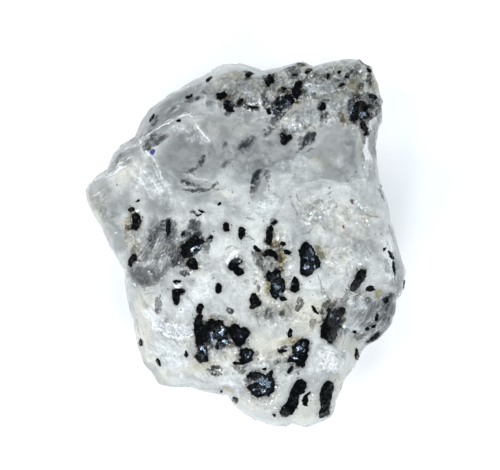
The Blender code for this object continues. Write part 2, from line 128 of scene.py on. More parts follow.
# Grains just under the skin, seen from above with ragged edges: middle, half length, half width, turn, how dark,
# and how brown.
HALF_SEEN = [
    (-12.9, -4.1, 2, 1.15, -6, 0.55, 0.3), (-13.2, -4.75, 1.3, 0.3, -6, 0.4, 0.3),
    (-5.4, -10.3, 0.7, 0.5, 60, 0.85, 0.2), (-4.6, -12.6, 0.5, 0.4, 0, 0.5, 0),
    (-3, -11.6, 0.8, 0.5, 30, 0.5, 0), (-1.6, -12.4, 0.4, 0.3, 50, 0.5, 0.3),
    (-9.55, 1.5, 1.65, 0.36, 87, 0.97, 0), (-9.1, 1.8, 0.8, 0.3, 85, 0.7, 0),
    (-10.3, 2.5, 0.5, 0.3, -20, 0.7, 0), (-11.6, 0.4, 0.9, 0.4, 70, 0.85, 0),
    (-11, 1.5, 0.9, 0.35, 50, 0.6, 0), (-7.7, 1.2, 0.32, 0.22, 40, 0.6, 0),
    (-9.1, -0.9, 0.75, 0.34, 80, 0.6, 0), (-10, -0.6, 0.5, 0.25, 90, 0.5, 0.6),
    (-10.8, -1.4, 0.35, 0.16, 60, 0.5, 0), (-12.7, -1.5, 0.9, 0.5, 50, 0.4, 0.7),
    (-13.9, -3.2, 0.35, 0.2, 0, 0.6, 0), (-13.6, -2.2, 0.45, 0.13, 30, 0.6, 0.6),
    (-11.3, -3.9, 0.75, 0.4, 40, 0.4, 0), (-9.2, -2.7, 0.26, 0.2, 0, 0.6, 0.3),
    (-8.3, -1.9, 0.8, 0.5, 30, 0.55, 0), (-7.5, -3.6, 0.45, 0.3, 0, 0.7, 0),
    (-10.1, -3.1, 0.85, 0.22, 65, 0.45, 0), (-8, -5.9, 0.4, 0.22, 10, 0.6, 0.2),
    (-11.1, -7.7, 0.9, 0.42, 75, 0.65, 0.2), (-6.3, 2.1, 0.8, 0.5, 20, 0.6, 0),
    (-6.6, 2.85, 0.3, 0.14, 0, 0.6, 0.4), (-6.5, 3.85, 0.2, 0.05, -30, 0.8, 0.3),
    (-8.1, -0.5, 0.3, 0.1, 80, 0.7, 0.8), (-6.3, 0, 1.4, 0.9, 60, 0.85, 0),
    (-4.5, 0.6, 0.6, 0.26, 65, 0.65, 0.2), (-4.8, -0.6, 0.42, 0.3, 90, 0.4, 0),
    (-14, -0.7, 0.5, 0.18, 70, 0.5, 0.8), (-15, 1.3, 0.7, 0.1, 80, 0.5, 0.8),
    (-14.2, 2, 0.6, 0.16, 10, 0.6, 0.7), (0.85, 7.3, 1.5, 0.2, 84, 1, 0), (1.3, 8.6, 0.9, 0.22, 52, 1, 0),
    (2.5, 8.2, 0.8, 0.05, -75, 0.6, 0), (1.7, 7.7, 1, 0.06, 60, 0.5, 0), (1.2, 7.5, 0.9, 0.1, 70, 0.6, 0),
    (2.1, 8.9, 0.5, 0.06, 20, 0.6, 0), (2.7, 8.6, 0.6, 0.14, 80, 0.45, 0), (-5, 11.05, 0.55, 0.14, 25, 1, 0),
    (-5.45, 10.25, 0.8, 0.18, 25, 1, 0), (-5.9, 9.45, 0.55, 0.12, 25, 1, 0),
    (-6.2, 9.4, 0.5, 0.1, 35, 0.8, 0), (-7, 8.95, 0.8, 0.12, 20, 0.9, 0),
    (-6.5, 10.2, 0.5, 0.08, 20, 0.5, 0), (0, 12.4, 1.3, 0.5, 35, 0.72, 0),
    (-2.7, 12.3, 0.5, 0.22, 70, 0.6, 0), (2.9, 14, 1, 0.34, 50, 0.6, 0), (2.2, 14.1, 0.3, 0.1, 40, 0.5, 0),
    (-2.4, 10.1, 0.8, 0.3, 50, 0.5, 0), (2.7, 12.9, 0.8, 0.22, 10, 0.5, 0),
    (3.5, 15.2, 0.7, 0.26, 40, 0.5, 0), (3.4, 12.1, 0.22, 0.12, -30, 0.5, 0.5),
    (8.3, 13.4, 0.5, 0.2, 60, 0.8, 0), (7.3, 12.6, 1, 0.22, 58, 0.9, 0), (6.8, 12.8, 0.4, 0.4, 0, 0.35, 0),
    (7.9, 11.7, 0.35, 0.14, 20, 0.4, 0.3), (5.7, 11.5, 0.3, 0.14, -20, 0.3, 0),
    (-2.3, 17.4, 0.5, 0.4, 0, 0.85, 0.2), (-0.65, 17.6, 0.5, 0.34, 30, 0.85, 0.5),
    (-1.3, 17.05, 0.3, 0.16, 0, 0.8, 0), (0.8, 16.85, 0.75, 0.12, -8, 0.85, 0.2),
    (-2.2, 16.2, 0.75, 0.2, 60, 0.6, 0), (2.4, 17.8, 1, 0.26, -80, 0.7, 0),
    (4.4, 19.2, 0.4, 0.26, 0, 0.75, 0.7), (5.2, 19.1, 0.45, 0.25, 10, 0.75, 0.6),
    (4.7, 16.8, 0.8, 0.5, 30, 0.8, 0), (6.1, 17.5, 0.45, 0.3, 20, 0.7, 0.9),
    (0.2, 21.5, 0.35, 0.1, -10, 0.8, 0), (0.2, 20.7, 0.42, 0.2, 20, 0.6, 0),
    (2.9, 21.4, 0.45, 0.1, 10, 0.75, 0), (3.1, 20.8, 0.5, 0.34, 30, 0.75, 0.2),
    (-6, 20, 0.5, 0.26, 30, 0.45, 0), (-3, 20.8, 0.2, 0.12, 0, 0.5, 0.3),
    (-1.1, 20.5, 0.36, 0.1, 0, 0.5, 0.2), (-0.6, 19.8, 0.45, 0.16, 10, 0.35, 0),
    (-6.6, 18.3, 0.65, 0.22, 15, 0.8, 0), (-5.3, 19, 0.36, 0.24, 0, 0.5, 0.5),
    (-4.7, 17.5, 0.65, 0.3, 10, 0.3, 0), (6, 21, 0.32, 0.2, 20, 0.7, 0), (6.3, 21.7, 0.4, 0.55, 0, 0.55, 0),
    (5.5, 22.2, 0.55, 0.3, 20, 0.5, 0), (7, 22.5, 0.6, 0.25, 20, 0.55, 0.4),
    (10.2, 20.7, 0.24, 0.42, 0, 0.55, 0.9), (12.2, 20.2, 0.4, 0.1, 50, 0.7, 0),
    (14, 21.4, 0.24, 0.12, 20, 0.7, 0.4), (14.55, 21.7, 0.26, 0.14, 40, 0.7, 0.4),
    (14.5, 21.1, 0.5, 0.1, 0, 0.65, 0.3), (14.7, 19.6, 0.5, 0.22, -60, 0.65, 0),
    (13.8, 19, 0.22, 0.2, 0, 0.85, 0.9), (13.3, 18.2, 0.6, 0.1, -5, 0.6, 0.9),
    (8.6, 18.3, 0.3, 0.12, -60, 0.6, 0), (9.6, 17.55, 0.36, 0.14, 10, 0.95, 0),
    (9.3, 16.8, 0.32, 0.26, 90, 0.95, 0), (9.5, 15.7, 0.34, 0.14, 45, 0.8, 0.2),
    (9.6, 14.9, 0.4, 0.1, 50, 0.45, 0), (11.75, 15.5, 0.8, 0.16, -72, 0.6, 1),
    (12.3, 15.1, 0.5, 0.1, -50, 0.5, 1), (15.6, 15.8, 0.5, 0.26, 30, 0.7, 0.8),
    (15.5, 13.9, 0.4, 0.12, 60, 0.75, 0.3), (14.5, 13.2, 0.55, 0.14, -60, 0.5, 0.9),
    (14.1, 16, 1, 0.8, 30, 0.75, 0), (5.6, 18.5, 0.6, 0.35, 45, 1, 0), (4.3, 16.4, 0.9, 0.3, 20, 1, 0),
    (3.6, 17.1, 0.5, 0.3, 60, 0.9, 0), (4, 15.7, 0.6, 0.2, 30, 0.8, 0), (13.2, 17.6, 0.6, 0.3, 30, 1, 0.3),
    (15.3, 17.8, 0.8, 0.3, -20, 1, 0.2), (13.4, 15.1, 0.5, 0.25, -60, 0.9, 0.2),
    (12.7, 17, 0.4, 0.2, 60, 0.9, 0), (16.2, 16.8, 0.8, 0.3, -12, 1, 0.2),
    (15.9, 16.2, 0.6, 0.22, 10, 0.9, 0.3), (16, 17.3, 0.5, 0.14, 30, 0.8, 0.4),
    (15.4, 22, 0.5, 0.26, -45, 0.9, 0), (1.6, -2.1, 1.2, 0.45, -62, 0.5, 0.2),
    (3.2, -2.6, 0.8, 0.22, -75, 0.6, 0), (4.3, -2.6, 1.1, 0.16, -86, 0.9, 1),
    (3.7, -3.3, 0.3, 0.4, 0, 0.6, 0.3), (2.6, -2.6, 0.5, 0.16, 90, 0.4, 0),
    (3.45, 2.6, 0.5, 0.4, 30, 0.45, 0), (3.4, 2.55, 0.22, 0.16, 0, 0.8, 0), (4, -0.8, 0.6, 0.34, 70, 0.6, 1),
    (3.5, -0.15, 0.5, 0.2, 0, 0.6, 1), (-2, -2.8, 0.34, 0.22, 0, 0.6, 0),
    (1.15, -4.7, 0.22, 0.12, -30, 0.45, 0.4), (1.5, -5.4, 0.2, 0.14, 80, 0.5, 0.3),
    (0, -4.8, 0.2, 0.1, 60, 0.3, 0.3), (6.6, -7.5, 0.75, 0.34, 80, 0.6, 0.7),
    (2.8, -8.5, 0.75, 0.5, 80, 0.45, 0), (3.2, -8.9, 0.45, 0.2, 70, 0.5, 0),
    (4.5, -8.4, 0.65, 0.24, 75, 0.75, 0.7), (4.3, -13.5, 0.45, 0.1, -40, 0.75, 0.7),
    (4.65, -12.9, 0.26, 0.14, 20, 0.85, 0.3), (5.4, -15.6, 0.6, 0.2, 65, 0.55, 0.3),
    (6.2, -15.9, 0.18, 0.14, 0, 0.6, 0.2), (3.6, -14.7, 0.2, 0.1, 20, 0.5, 0.6),
    (1.3, -13.6, 0.22, 0.12, 40, 0.5, 0.5), (-3.8, -15.45, 0.55, 0.13, 5, 0.8, 0),
    (-3.7, -16.15, 0.65, 0.2, -8, 0.7, 0), (-0.8, -15.3, 0.8, 0.28, 0, 0.45, 0.4),
    (-0.5, -15.8, 0.34, 0.16, 20, 0.5, 0), (-3.4, -12.4, 0.4, 0.24, 0, 0.55, 0),
    (-2.05, -8.3, 0.36, 0.24, -20, 0.75, 0.3), (0.2, -17, 0.5, 0.2, 0, 0.4, 0),
    (-2.3, -11, 0.5, 0.6, 20, 0.6, 0.2), (-3.2, -18.4, 0.2, 0.12, 0, 0.6, 0.8),
    (11.6, -9.4, 0.6, 0.45, -70, 0.8, 0.8), (10.5, -7.6, 0.9, 0.35, 0, 0.65, 1),
    (9.4, -8.5, 0.42, 0.14, -45, 0.8, 0.8), (8.2, -10, 0.8, 0.16, 85, 0.5, 0.7),
    (12.5, -11, 0.5, 0.26, 10, 0.35, 0), (14.3, -11.6, 0.6, 0.36, 20, 0.5, 0.3),
    (16.35, -9.2, 0.55, 0.2, 80, 0.97, 0.5), (16, -10.3, 0.5, 0.2, 15, 0.92, 0.4),
    (16, -11.7, 1.1, 0.4, 42, 0.97, 0), (17.4, -9.3, 0.2, 0.14, 0, 0.7, 0),
    (17.5, -7.3, 0.6, 0.3, 60, 0.9, 0), (18.2, -8.2, 0.7, 0.3, 70, 0.8, 0),
    (16.6, -8.4, 0.5, 0.14, 40, 0.7, 0), (18.6, -6.7, 0.4, 0.35, 80, 0.5, 0),
    (15.2, -8.9, 0.9, 0.1, 60, 0.6, 0.3), (17.3, -8.7, 1, 0.2, 68, 0.8, 0),
    (16.9, -10.2, 0.9, 0.12, 55, 0.6, 0), (14.6, -9.8, 0.7, 0.08, 50, 0.5, 0.3),
    (15.9, -7.7, 0.7, 0.1, 50, 0.6, 0.2), (17.9, -9.6, 0.6, 0.12, 70, 0.6, 0),
    (4.6, 16.85, 0.8, 0.35, -15, 0.9, 0), (-4.9, -12.9, 0.5, 0.25, 30, 0.7, 0.2),
    (-2.6, -11.5, 0.5, 0.25, 0, 0.8, 0.1), (-1.9, -11.4, 0.6, 0.14, 80, 0.6, 0.2),
    (-5, -12.3, 0.5, 0.2, 80, 0.7, 0), (13.9, 15, 0.5, 0.3, 0, 0.7, 0.2),
    (15.4, -7.2, 0.45, 0.35, 0, 0.5, 0), (12.35, -6.9, 0.7, 0.2, 80, 0.5, 0),
    (13.7, -6.9, 0.65, 0.16, 80, 0.5, 0), (17.05, 6.4, 0.75, 0.13, -80, 0.75, 0),
    (18.5, 1.2, 1.1, 0.15, -60, 0.6, 0), (19.5, -4, 0.9, 0.2, -78, 0.5, 0),
    (17.9, 1.5, 0.32, 0.15, 20, 0.4, 0.7), (17.6, -3, 0.9, 0.24, -80, 0.3, 0),
    (9.1, -1, 0.9, 0.35, -60, 0.3, 1), (13.1, 5.2, 0.2, 0.12, -40, 0.7, 0.9),
    (14.6, 12.9, 1.1, 0.03, 86, 0.6, 0.9), (14.6, 10.6, 0.8, 0.02, 95, 0.4, 0.9),
    (9.9, -20.6, 0.9, 0.4, 75, 0.6, 0.3), (-12.5, 12.3, 0.5, 0.42, 0, 0.5, 0),
    (-7.3, 7.55, 1.2, 0.1, -24, 0.85, 0), (-6.6, 7.25, 0.6, 0.05, -30, 0.7, 0),
    (-5.4, 6.72, 1.3, 0.06, 2, 0.75, 0), (-4.1, 7.1, 0.5, 0.04, 40, 0.5, 0),
    (-11.9, 13.2, 0.9, 0.1, 30, 0.7, 0), (-10.9, 13.6, 0.8, 0.08, 35, 0.6, 0),
    (-12.8, 12.3, 0.5, 0.1, 80, 0.7, 0), (-11.2, 12.5, 0.5, 0.08, 10, 0.6, 0),
    (-12.4, 13, 0.42, 0.15, 0, 0.5, 0), (-11.9, 13.5, 0.18, 0.14, 0, 0.75, 0),
    (-11.2, 12.8, 0.5, 0.2, 10, 0.5, 0), (-10.4, 13.4, 0.5, 0.2, 20, 0.4, 0),
    (-11.7, 15.6, 0.9, 0.3, 60, 0.95, 0), (-9.3, 17, 0.7, 0.2, 25, 0.95, 0),
    (-9.8, 16.5, 0.45, 0.14, 20, 0.55, 0), (-8.1, 18, 0.3, 0.12, 5, 0.95, 0),
    (-7, 18.2, 0.8, 0.24, 25, 0.97, 0), (-7.6, 18.5, 0.34, 0.1, 15, 0.75, 0),
    (-7.6, 19.2, 0.45, 0.15, 10, 0.4, 0), (-16.6, 10.35, 0.3, 0.16, 20, 0.6, 0.9),
    (-16.2, 10.9, 0.65, 0.2, 50, 0.45, 0), (8.9, 5.1, 0.5, 0.14, 10, 0.25, 0),
    (8, 4.5, 0.4, 0.2, -40, 0.25, 0),
]
SEEN_GROWTH = 0.1

# Hair-thin dark cracks, seen from above, and painted glints: white spots a few tenths of a millimetre wide that
# stand in for glints of light.
HAIRLINES = [
    [(1.3, -8.3), (1.5, -9), (1.6, -9.9)], [(8.9, -4), (9.2, -4.9), (9.5, -6.3)],
    [(-2.5, -0.8), (-1.9, -0.35), (-1.2, -0.5)], [(0.1, 0.8), (0.5, 0.8), (0.8, 0.5)],
    [(0, 3.15), (0.8, 3.05)], [(-15.1, -0.3), (-14.8, 0.1), (-14.4, 0.3)],
    [(-15.1, 0.8), (-14.8, 1), (-14.5, 1.1)], [(-13.8, 0.7), (-13.6, -0.1), (-13.5, -0.9)],
    [(10.2, 6.2), (10.5, 6.4)], [(7.3, 1.2), (7.9, 1.4), (8.3, 1.8)], [(5.7, 5), (5.9, 4.2), (6.3, 3.7)],
    [(6.6, 5.2), (6.3, 5.9)], [(-7.2, -6.6), (-6.6, -7.2)], [(-6.9, 7.6), (-6.1, 7.3)],
    [(-7.8, 7.3), (-6.4, 6.6), (-4.9, 6.5), (-4, 7.2)], [(-7.9, 7.9), (-7, 7.9), (-5.9, 7.2), (-5.3, 6.9)],
    [(-7.2, 7.4), (-6.2, 7.6), (-5.6, 7.3)], [(9.8, -6), (10.2, -7)], [(6, 14), (7, 14.1)],
    [(7.2, 15.2), (8.2, 14.7), (8.6, 14.3)], [(4.4, 14.8), (4.7, 14.3)],
    [(-14.6, -3.9), (-14.2, -5), (-12.8, -5.35), (-11.4, -5.1)], [(-12.6, -6.4), (-11.8, -6.2)],
    [(15, 3.6), (16.6, 3.3)], [(1.7, 4.4), (2.1, 4.3)], [(3.4, -21.35), (3.8, -21.2)],
    [(0.2, -12.4), (0.7, -12.9)], [(4.9, -7.6), (5.5, -8.4)],
]
GLINT_SPOTS = [
    (12.2, 5.5, 0.2), (13.6, 5.2, 0.22), (13.8, 4.9, 0.18), (14.3, 4.5, 0.2), (14.8, 4.2, 0.16),
    (9.4, 3.3, 0.26), (8.1, 3.7, 0.22), (7.7, 3, 0.2), (7.8, 2.5, 0.24), (7.2, 2.3, 0.16), (14.9, 2.9, 0.22),
    (15.6, 2.8, 0.18), (13.7, 2.55, 0.18), (14.8, 2.3, 0.18), (15.3, 2.2, 0.18), (12, 4.2, 0.16),
    (12.6, -0.9, 0.18), (10.1, -2.3, 0.2), (10.5, -2.4, 0.2), (10.8, -2.8, 0.16), (12.6, -2.9, 0.16),
    (13, -2.9, 0.14), (14, -2.5, 0.24), (14.9, -1.4, 0.16), (14.8, -2, 0.18), (10.6, 0.2, 0.16),
    (-12.2, -3.6, 0.22), (-11.9, -3.9, 0.2), (-13.7, -2.45, 0.2), (-16.4, 1.4, 0.18), (-14.2, -5.3, 0.2),
    (-15.2, 2, 0.18), (-11.2, 1.7, 0.16), (-13.5, 4, 0.24), (-8.4, -5.3, 0.2), (-8.9, -5.3, 0.16),
    (1.4, -11.9, 0.24), (-2.6, -12.2, 0.2), (-4.7, -12.9, 0.26), (-3.4, -11.4, 0.3), (-3.2, -11.9, 0.2),
    (0.4, -19.7, 0.18), (1.3, -19.8, 0.2), (1.8, -19.3, 0.14), (0.2, -20.4, 0.14), (2.2, -20.2, 0.14),
    (2.5, -20, 0.14), (3.7, -17.9, 0.18), (5, -14, 0.2), (-2.5, -2.7, 0.22), (-1.5, -1.1, 0.26),
    (-1.2, -1.5, 0.2), (5.5, -2.9, 0.22), (3.9, 0.7, 0.26), (5.7, -10, 0.16), (4.2, -9.4, 0.14),
    (8.4, -17, 0.16), (8.3, -18.8, 0.2), (7.3, -19.5, 0.18), (13.1, 17.7, 0.18), (13.3, 16.4, 0.3),
    (8.1, 19.9, 0.3), (12.3, 16.6, 0.16), (13.5, 20.3, 0.22), (14.6, 20.3, 0.16), (5.9, 19.7, 0.16),
    (-0.5, 16.2, 0.18), (0.4, 16.6, 0.22), (0.9, 16.4, 0.2), (2.1, 16.2, 0.14), (-6.6, 11.2, 0.16),
    (-10.1, -13, 0.2), (-10.5, -13, 0.18), (-10.4, -13.9, 0.12), (-8.9, -10.3, 0.26), (-7.9, -11.9, 0.14),
    (-11.9, -13.5, 0.14), (6.7, 14.7, 0.2), (6.1, 14.5, 0.2), (5.7, 14.8, 0.16), (11.4, 8.9, 0.14),
    (13.1, 9.4, 0.12), (16.4, 9.2, 0.14), (-15.7, 6.4, 0.14), (9.3, -11.4, 0.2), (12.4, -10.4, 0.34),
    (16.9, -6.9, 0.2), (17.3, -8.5, 0.12), (12.2, -13.4, 0.18),
]
HAIR_REACH = 0.5

# Ledges where two shell-shaped breaks meet, seen from above: points, the drop on the right of the way they run,
# how far that drop fades out, and how white the splintered edge is.
LEDGES = [
    ([(-18.9, 7.9), (-17.5, 8.8), (-15.3, 9.8)], -0.3, 1, 0.85),
    ([(-16.2, 9.9), (-14.7, 10.9)], -0.2, 0.8, 0.5),
    ([(-15.2, 12), (-13.5, 13.2), (-12.3, 13.7), (-10.5, 14.9), (-9, 15.6), (-7.8, 16), (-6.3, 15.95)],
     -0.5, 2, 0.9), ([(-6.2, 14.7), (-5.2, 13.6), (-4.6, 12.6)], 0.2, 1.2, 0.5),
    ([(-13.2, 12.3), (-12.6, 11.5), (-11.7, 10.7), (-10.7, 9.2), (-10.2, 7.8)], 0.4, 2.4, 0.45),
    ([(-14.2, 10.1), (-12.4, 8.6), (-10.9, 6.5)], 0.16, 1, 0.3),
    ([(-14.6, 9.2), (-13, 7.6), (-11.8, 5.6)], 0.14, 1, 0.3), ([(-17.9, 6.8), (-18.8, 6)], 0.1, 0.8, 0.4),
    ([(-8.3, 8), (-7, 7), (-5.5, 6.5), (-4.2, 7.1)], 0.16, 0.9, 0.1),
    ([(-7.8, 9), (-6.4, 8), (-4.9, 7.9)], 0.1, 0.8, 0.2),
    ([(15.9, 15.7), (15.5, 14), (15.4, 12.9), (15.4, 11.5), (15.6, 10.5), (15.3, 9)], -0.5, 1.2, 0.6),
    ([(-14.8, -3.9), (-14.2, -5), (-12.8, -5.3), (-11.5, -5), (-10.9, -4.2)], 0.3, 1.2, 0.4),
    ([(-13.3, -1.9), (-11.8, -1), (-10.6, 0.8)], 0.2, 0.9, 0.4),
    ([(-12.7, -2.8), (-11, -1.9), (-9.9, -0.2)], 0.2, 0.9, 0.3),
    ([(-12.5, -8.5), (-11.8, -10), (-10.3, -11.1), (-8.8, -11.7), (-7.6, -11.7), (-6.5, -11.3)], -0.5, 1.8,
     0.9), ([(-12, -7.6), (-11.2, -9.1), (-9.9, -10.1), (-8.2, -10.6)], -0.14, 0.8, 0.3),
    ([(12.2, -7.2), (14.1, -8), (16.2, -8.3), (18, -8.8)], 0.2, 1.2, 0.12),
    ([(11.9, -9.6), (13.8, -11), (15.6, -12)], 0.3, 1.2, 0.3),
    ([(12.6, -5.6), (14.6, -6.9), (16.4, -7)], 0.2, 1, 0.5),
    ([(4.4, 4.6), (5.6, 6.6), (7.6, 7.7), (10, 7.9), (12.6, 7.5), (15, 8)], -0.18, 2.2, 0.12),
    ([(5.4, 11.4), (7.4, 12.6), (9.4, 14.8), (9.2, 16.4)], 0.25, 1.4, 0.12),
    ([(-1.8, 15.9), (0.4, 15.2), (2.8, 15.6), (5.2, 14.9)], 0.2, 1.2, 0.15),
    ([(0, 8.6), (0.4, 10.6), (1.6, 11.3), (2.6, 10)], 0.14, 0.9, 0.14),
    ([(9.8, -13.4), (10.9, -14.4), (11.4, -15.9)], 0.3, 1.2, 0.9),
    ([(18.5, 0.2), (18.2, -2), (18.6, -4.6)], -0.3, 0.9, 0.8),
    ([(-14.2, -9), (-13.2, -11.6), (-12.4, -14.2), (-10.6, -16.4)], 0.3, 1.4, 0.3),
    ([(-6.4, -16.2), (-4, -17.4), (-1.6, -17.6)], 0.3, 1.4, 0.4),
    ([(-9.6, -4), (-6, -4.6), (-2.6, -6.8), (-1.4, -9)], 0.2, 1.6, 0),
    ([(9, 4.4), (11.4, 3.6), (13, 1.6), (15.4, 0.6)], 0.3, 1.4, 0.1),
    ([(7.6, -5.6), (10, -5.8), (12.4, -7.6)], 0.2, 1.4, 0),
]
LIP_RISE = 0.1
LIP_WIDTH = 0.3
STEP_WIDTH = 0.2
WHITE_WIDTH = 0.8

# Bands of opaque white splinters along the edges: points, half width and strength.
SPLINTER_BANDS = [
    ([(15.9, 16.2), (15.7, 15.2), (15.5, 14.2)], 0.4, 1),
    ([(15.25, 13.4), (15.2, 12.4), (15.2, 11.2), (15.2, 10.4)], 0.52, 1),
    ([(15, 10.2), (14.7, 9.5)], 0.25, 0.8),
    ([(-12.5, -9.2), (-11.5, -10.5), (-10.2, -11.3), (-8.6, -11.7), (-7.4, -11.6), (-6.5, -11.2)], 0.2, 0.6),
    ([(10.2, -13), (10.6, -14), (10.2, -15.4)], 0.6, 1),
    ([(-1.2, -0.9), (-1.7, -1.5), (-2.3, -2.3)], 0.36, 0.9), ([(-8.9, -5.3), (-8, -5.3)], 0.22, 0.9),
    ([(7, 19.9), (8.4, 19.8), (9.8, 19.6)], 0.26, 0.45), ([(0.2, 17.5), (1.6, 17.6)], 0.3, 0.6),
    ([(7.4, 2.6), (7.9, 2.9), (8.4, 3.6)], 0.3, 0.8), ([(12, -10.3), (12.6, -10.5)], 0.25, 1),
    ([(14.8, -1.2), (15.1, -2)], 0.16, 0.7), ([(-3.6, -11.4), (-3.1, -11.9)], 0.3, 0.6),
    ([(13, 5.3), (13.8, 5), (14.8, 4.5)], 0.22, 0.6),
    ([(3.2, -15.9), (3.1, -16.8), (2.8, -17.3)], 0.12, 0.8), ([(10.3, -2.4), (10.8, -2.6)], 0.2, 0.9),
]

# Bands of fine bluish frost, seen from above: points, half width and strength.
FROST_BANDS = [
    ([(-12.3, -8.7), (-11.3, -10), (-9.9, -10.8), (-8.3, -11), (-6.7, -10.6)], 1, 1),
    ([(10.2, -12.9), (10.6, -14), (10.2, -15.6)], 1.1, 1), ([(9.4, -14.4), (11, -14.8)], 2.6, 0.6),
    ([(-13, 8.6), (-10.6, 6.6)], 1.8, 0.4), ([(10.9, 10.9), (11.3, 10.2)], 0.7, 0.45),
    ([(-2.6, -17.4), (-1, -17.9)], 0.9, 0.7), ([(-10.4, -13.2), (-8.6, -14.8)], 1.8, 0.5),
    ([(15.3, 15.4), (15.1, 12), (15.2, 9.4)], 0.8, 0.5), ([(17.9, 0), (17.8, -4)], 0.8, 0.7),
    ([(7.2, 19.8), (9, 19.4)], 0.8, 0.8), ([(0.2, 18.6), (1.8, 17.8)], 0.9, 0.6),
    ([(-1.6, -1.4), (-2.3, -2.2)], 0.8, 0.9), ([(4.6, 9.4), (6.4, 10.2)], 1.2, 0.3),
    ([(13.2, -7.4), (14.8, -7.8)], 0.9, 0.6), ([(5.8, 14.6), (7.4, 14.2)], 0.8, 0.25),
    ([(-8.4, 14.2), (-5, 13.2)], 1, 0.35), ([(-6.2, 14.7), (-5.2, 13.6), (-4.6, 12.6)], 0.5, 0.6),
    ([(3.4, 5.6), (2.2, 3.6)], 1.6, 0.4), ([(12.2, -3), (13.2, -2.2)], 1, 0.5),
    ([(10.8, 11.4), (11.3, 10.6), (11.9, 9.8)], 0.8, 0.5), ([(8.4, 16.4), (7, 15.4)], 1, 0.4),
    ([(12.6, -10.4), (13.4, -10.8)], 0.7, 0.8), ([(-7.4, -7.4), (-4.4, -5.4)], 1.8, 0.4),
]

# Fans of fine streaks that spread from where a break was struck: where from, and the patch that they cover.
FANS = [
    (-19.8, 13.4, (-11.9, 7.6, 3.6, 2.2, -40, 0.42)), (-32, 4, (-11, 15.8, 7, 1.4, 34, 0.7)),
    (-8.6, -7.2, (-9.6, -10.4, 3.4, 1.6, -24, 0.5)), (-21, -10, (-11.6, -1.4, 3.2, 1.8, 45, 0.9)),
    (9, -15.4, (15.2, -9.6, 2.8, 2.2, 40, 0.95)), (13.6, -0.5, (13.2, -6.9, 1.6, 1.2, 0, 0.9)),
    (18.3, 14, (18.9, -3.6, 1, 3.6, 0, 0.8)), (16.2, 22, (15.8, 12, 0.9, 4, 0, 0.7)),
    (-9, 15.4, (-6.3, 8, 2.4, 1.4, 0, 0.45)), (-13.4, 2, (-9.6, 1.2, 1.6, 2.6, 0, 0.5)),
]

# Ripples that spread from where a break was struck, seen from above: middle, spacing, reach and height.
RIPPLES = [
    (-16.5, 11.5, 1.9, 8, 0.05), (-9, 16.5, 1.9, 8, 0.05), (13.8, 14.6, 1.6, 6, 0.05),
    (-8.2, -7.6, 0.8, 5, 0.07), (-15.2, 0.6, 0.75, 5.5, 0.09), (19, -5.5, 0.8, 7, 0.08),
    (3.5, 17, 1.6, 8, 0.04), (11.5, -17, 1, 5, 0.05),
]

# The outline seen from above, clockwise from the left tip, in millimetres.
OUTLINE_MIDDLE = (0.5, 1.0)
OUTLINE = [
    (-19.95, 6.4), (-19.7, 7.3), (-19, 8.1), (-17.4, 9.4), (-16.6, 11.2), (-15.7, 12.3), (-13.9, 13.4),
    (-13.1, 15.3), (-12, 16.8), (-10.4, 18), (-9.3, 18.9), (-8.3, 19.3), (-7, 20.2), (-4.5, 21.4),
    (-3.8, 22), (-2.2, 22.5), (-0.2, 22.4), (1.2, 22), (2.1, 21.6), (4.4, 22.1), (7.1, 22.8), (8.4, 22.2),
    (10, 22.6), (12, 22.95), (14.2, 23), (15, 22.4), (15.8, 21.6), (16.6, 19.3), (17, 18), (17, 15.2),
    (16.5, 13.5), (16.3, 12), (16.5, 9.5), (16.8, 7.4), (17.7, 5.2), (18.1, 2.8), (18.9, 0.1), (19.5, -2.1),
    (19.9, -3.2), (19.7, -5.8), (18.8, -7.3), (18.6, -8.9), (18.1, -10.2), (17.4, -11.1), (16.6, -11.9),
    (15.2, -12.8), (14.5, -13.5), (13.7, -15.1), (12.4, -17.2), (11.4, -19.5), (11, -21), (10.4, -21.8),
    (7.6, -23), (5.8, -22.6), (3.8, -22.9), (1.2, -22.1), (-0.4, -21.2), (-1.7, -20), (-2.3, -19.1),
    (-3.8, -18.8), (-7, -18), (-9.2, -18), (-10.8, -17.6), (-11.9, -16.1), (-12.7, -15.3), (-13.4, -13.4),
    (-14.1, -9.8), (-15, -6), (-15.2, -3.4), (-16.6, -1), (-18, 1.9), (-19.5, 4.5), (-19.95, 5.6),
]
RIM_START = 0.7


def merged_copy(node):
    """A solid's mesh, its loose triangles joined up."""
    shape = bmesh.new()
    shape.from_mesh(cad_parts[node].data)
    bmesh.ops.remove_doubles(shape, verts=shape.verts, dist=MERGE)
    return shape


def close_pockets(shape, grains):
    """Takes away each grain's pocket walls, which face the grain from close by, and fills the openings."""
    for grain in grains:
        low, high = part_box(grain)
        middle = (low + high) / 2.0
        grain_skin = BVHTree.FromBMesh(merged_copy(grain))
        walls = []
        for face in shape.faces:
            centre = face.calc_center_median()
            if (centre - middle).length < (high - low).length and face.normal.dot(middle - centre) > 0.0:
                if grain_skin.find_nearest(centre)[3] < POCKET_GAP:
                    walls.append(face)
        bmesh.ops.delete(shape, geom=walls, context="FACES")
    bmesh.ops.holes_fill(shape, edges=[edge for edge in shape.edges if edge.is_boundary], sides=0)
    joined_openings = [edge for edge in shape.edges if edge.is_boundary]
    bmesh.ops.triangle_fill(shape, use_beauty=True, edges=joined_openings)
    bmesh.ops.recalc_face_normals(shape, faces=shape.faces)


def skin_over(shape, name, voxel):
    """One even skin over a shape's overlapping lumps, as a new mesh."""
    mesh = bpy.data.meshes.new(name)
    shape.to_mesh(mesh)
    shape.free()
    holder = bpy.data.objects.new(name, mesh)
    bpy.context.scene.collection.objects.link(holder)
    skin = holder.modifiers.new("skin", "REMESH")
    skin.mode = "VOXEL"
    skin.voxel_size = voxel
    made = bmesh.new()
    made.from_object(holder, bpy.context.evaluated_depsgraph_get())
    bpy.data.objects.remove(holder)
    return made


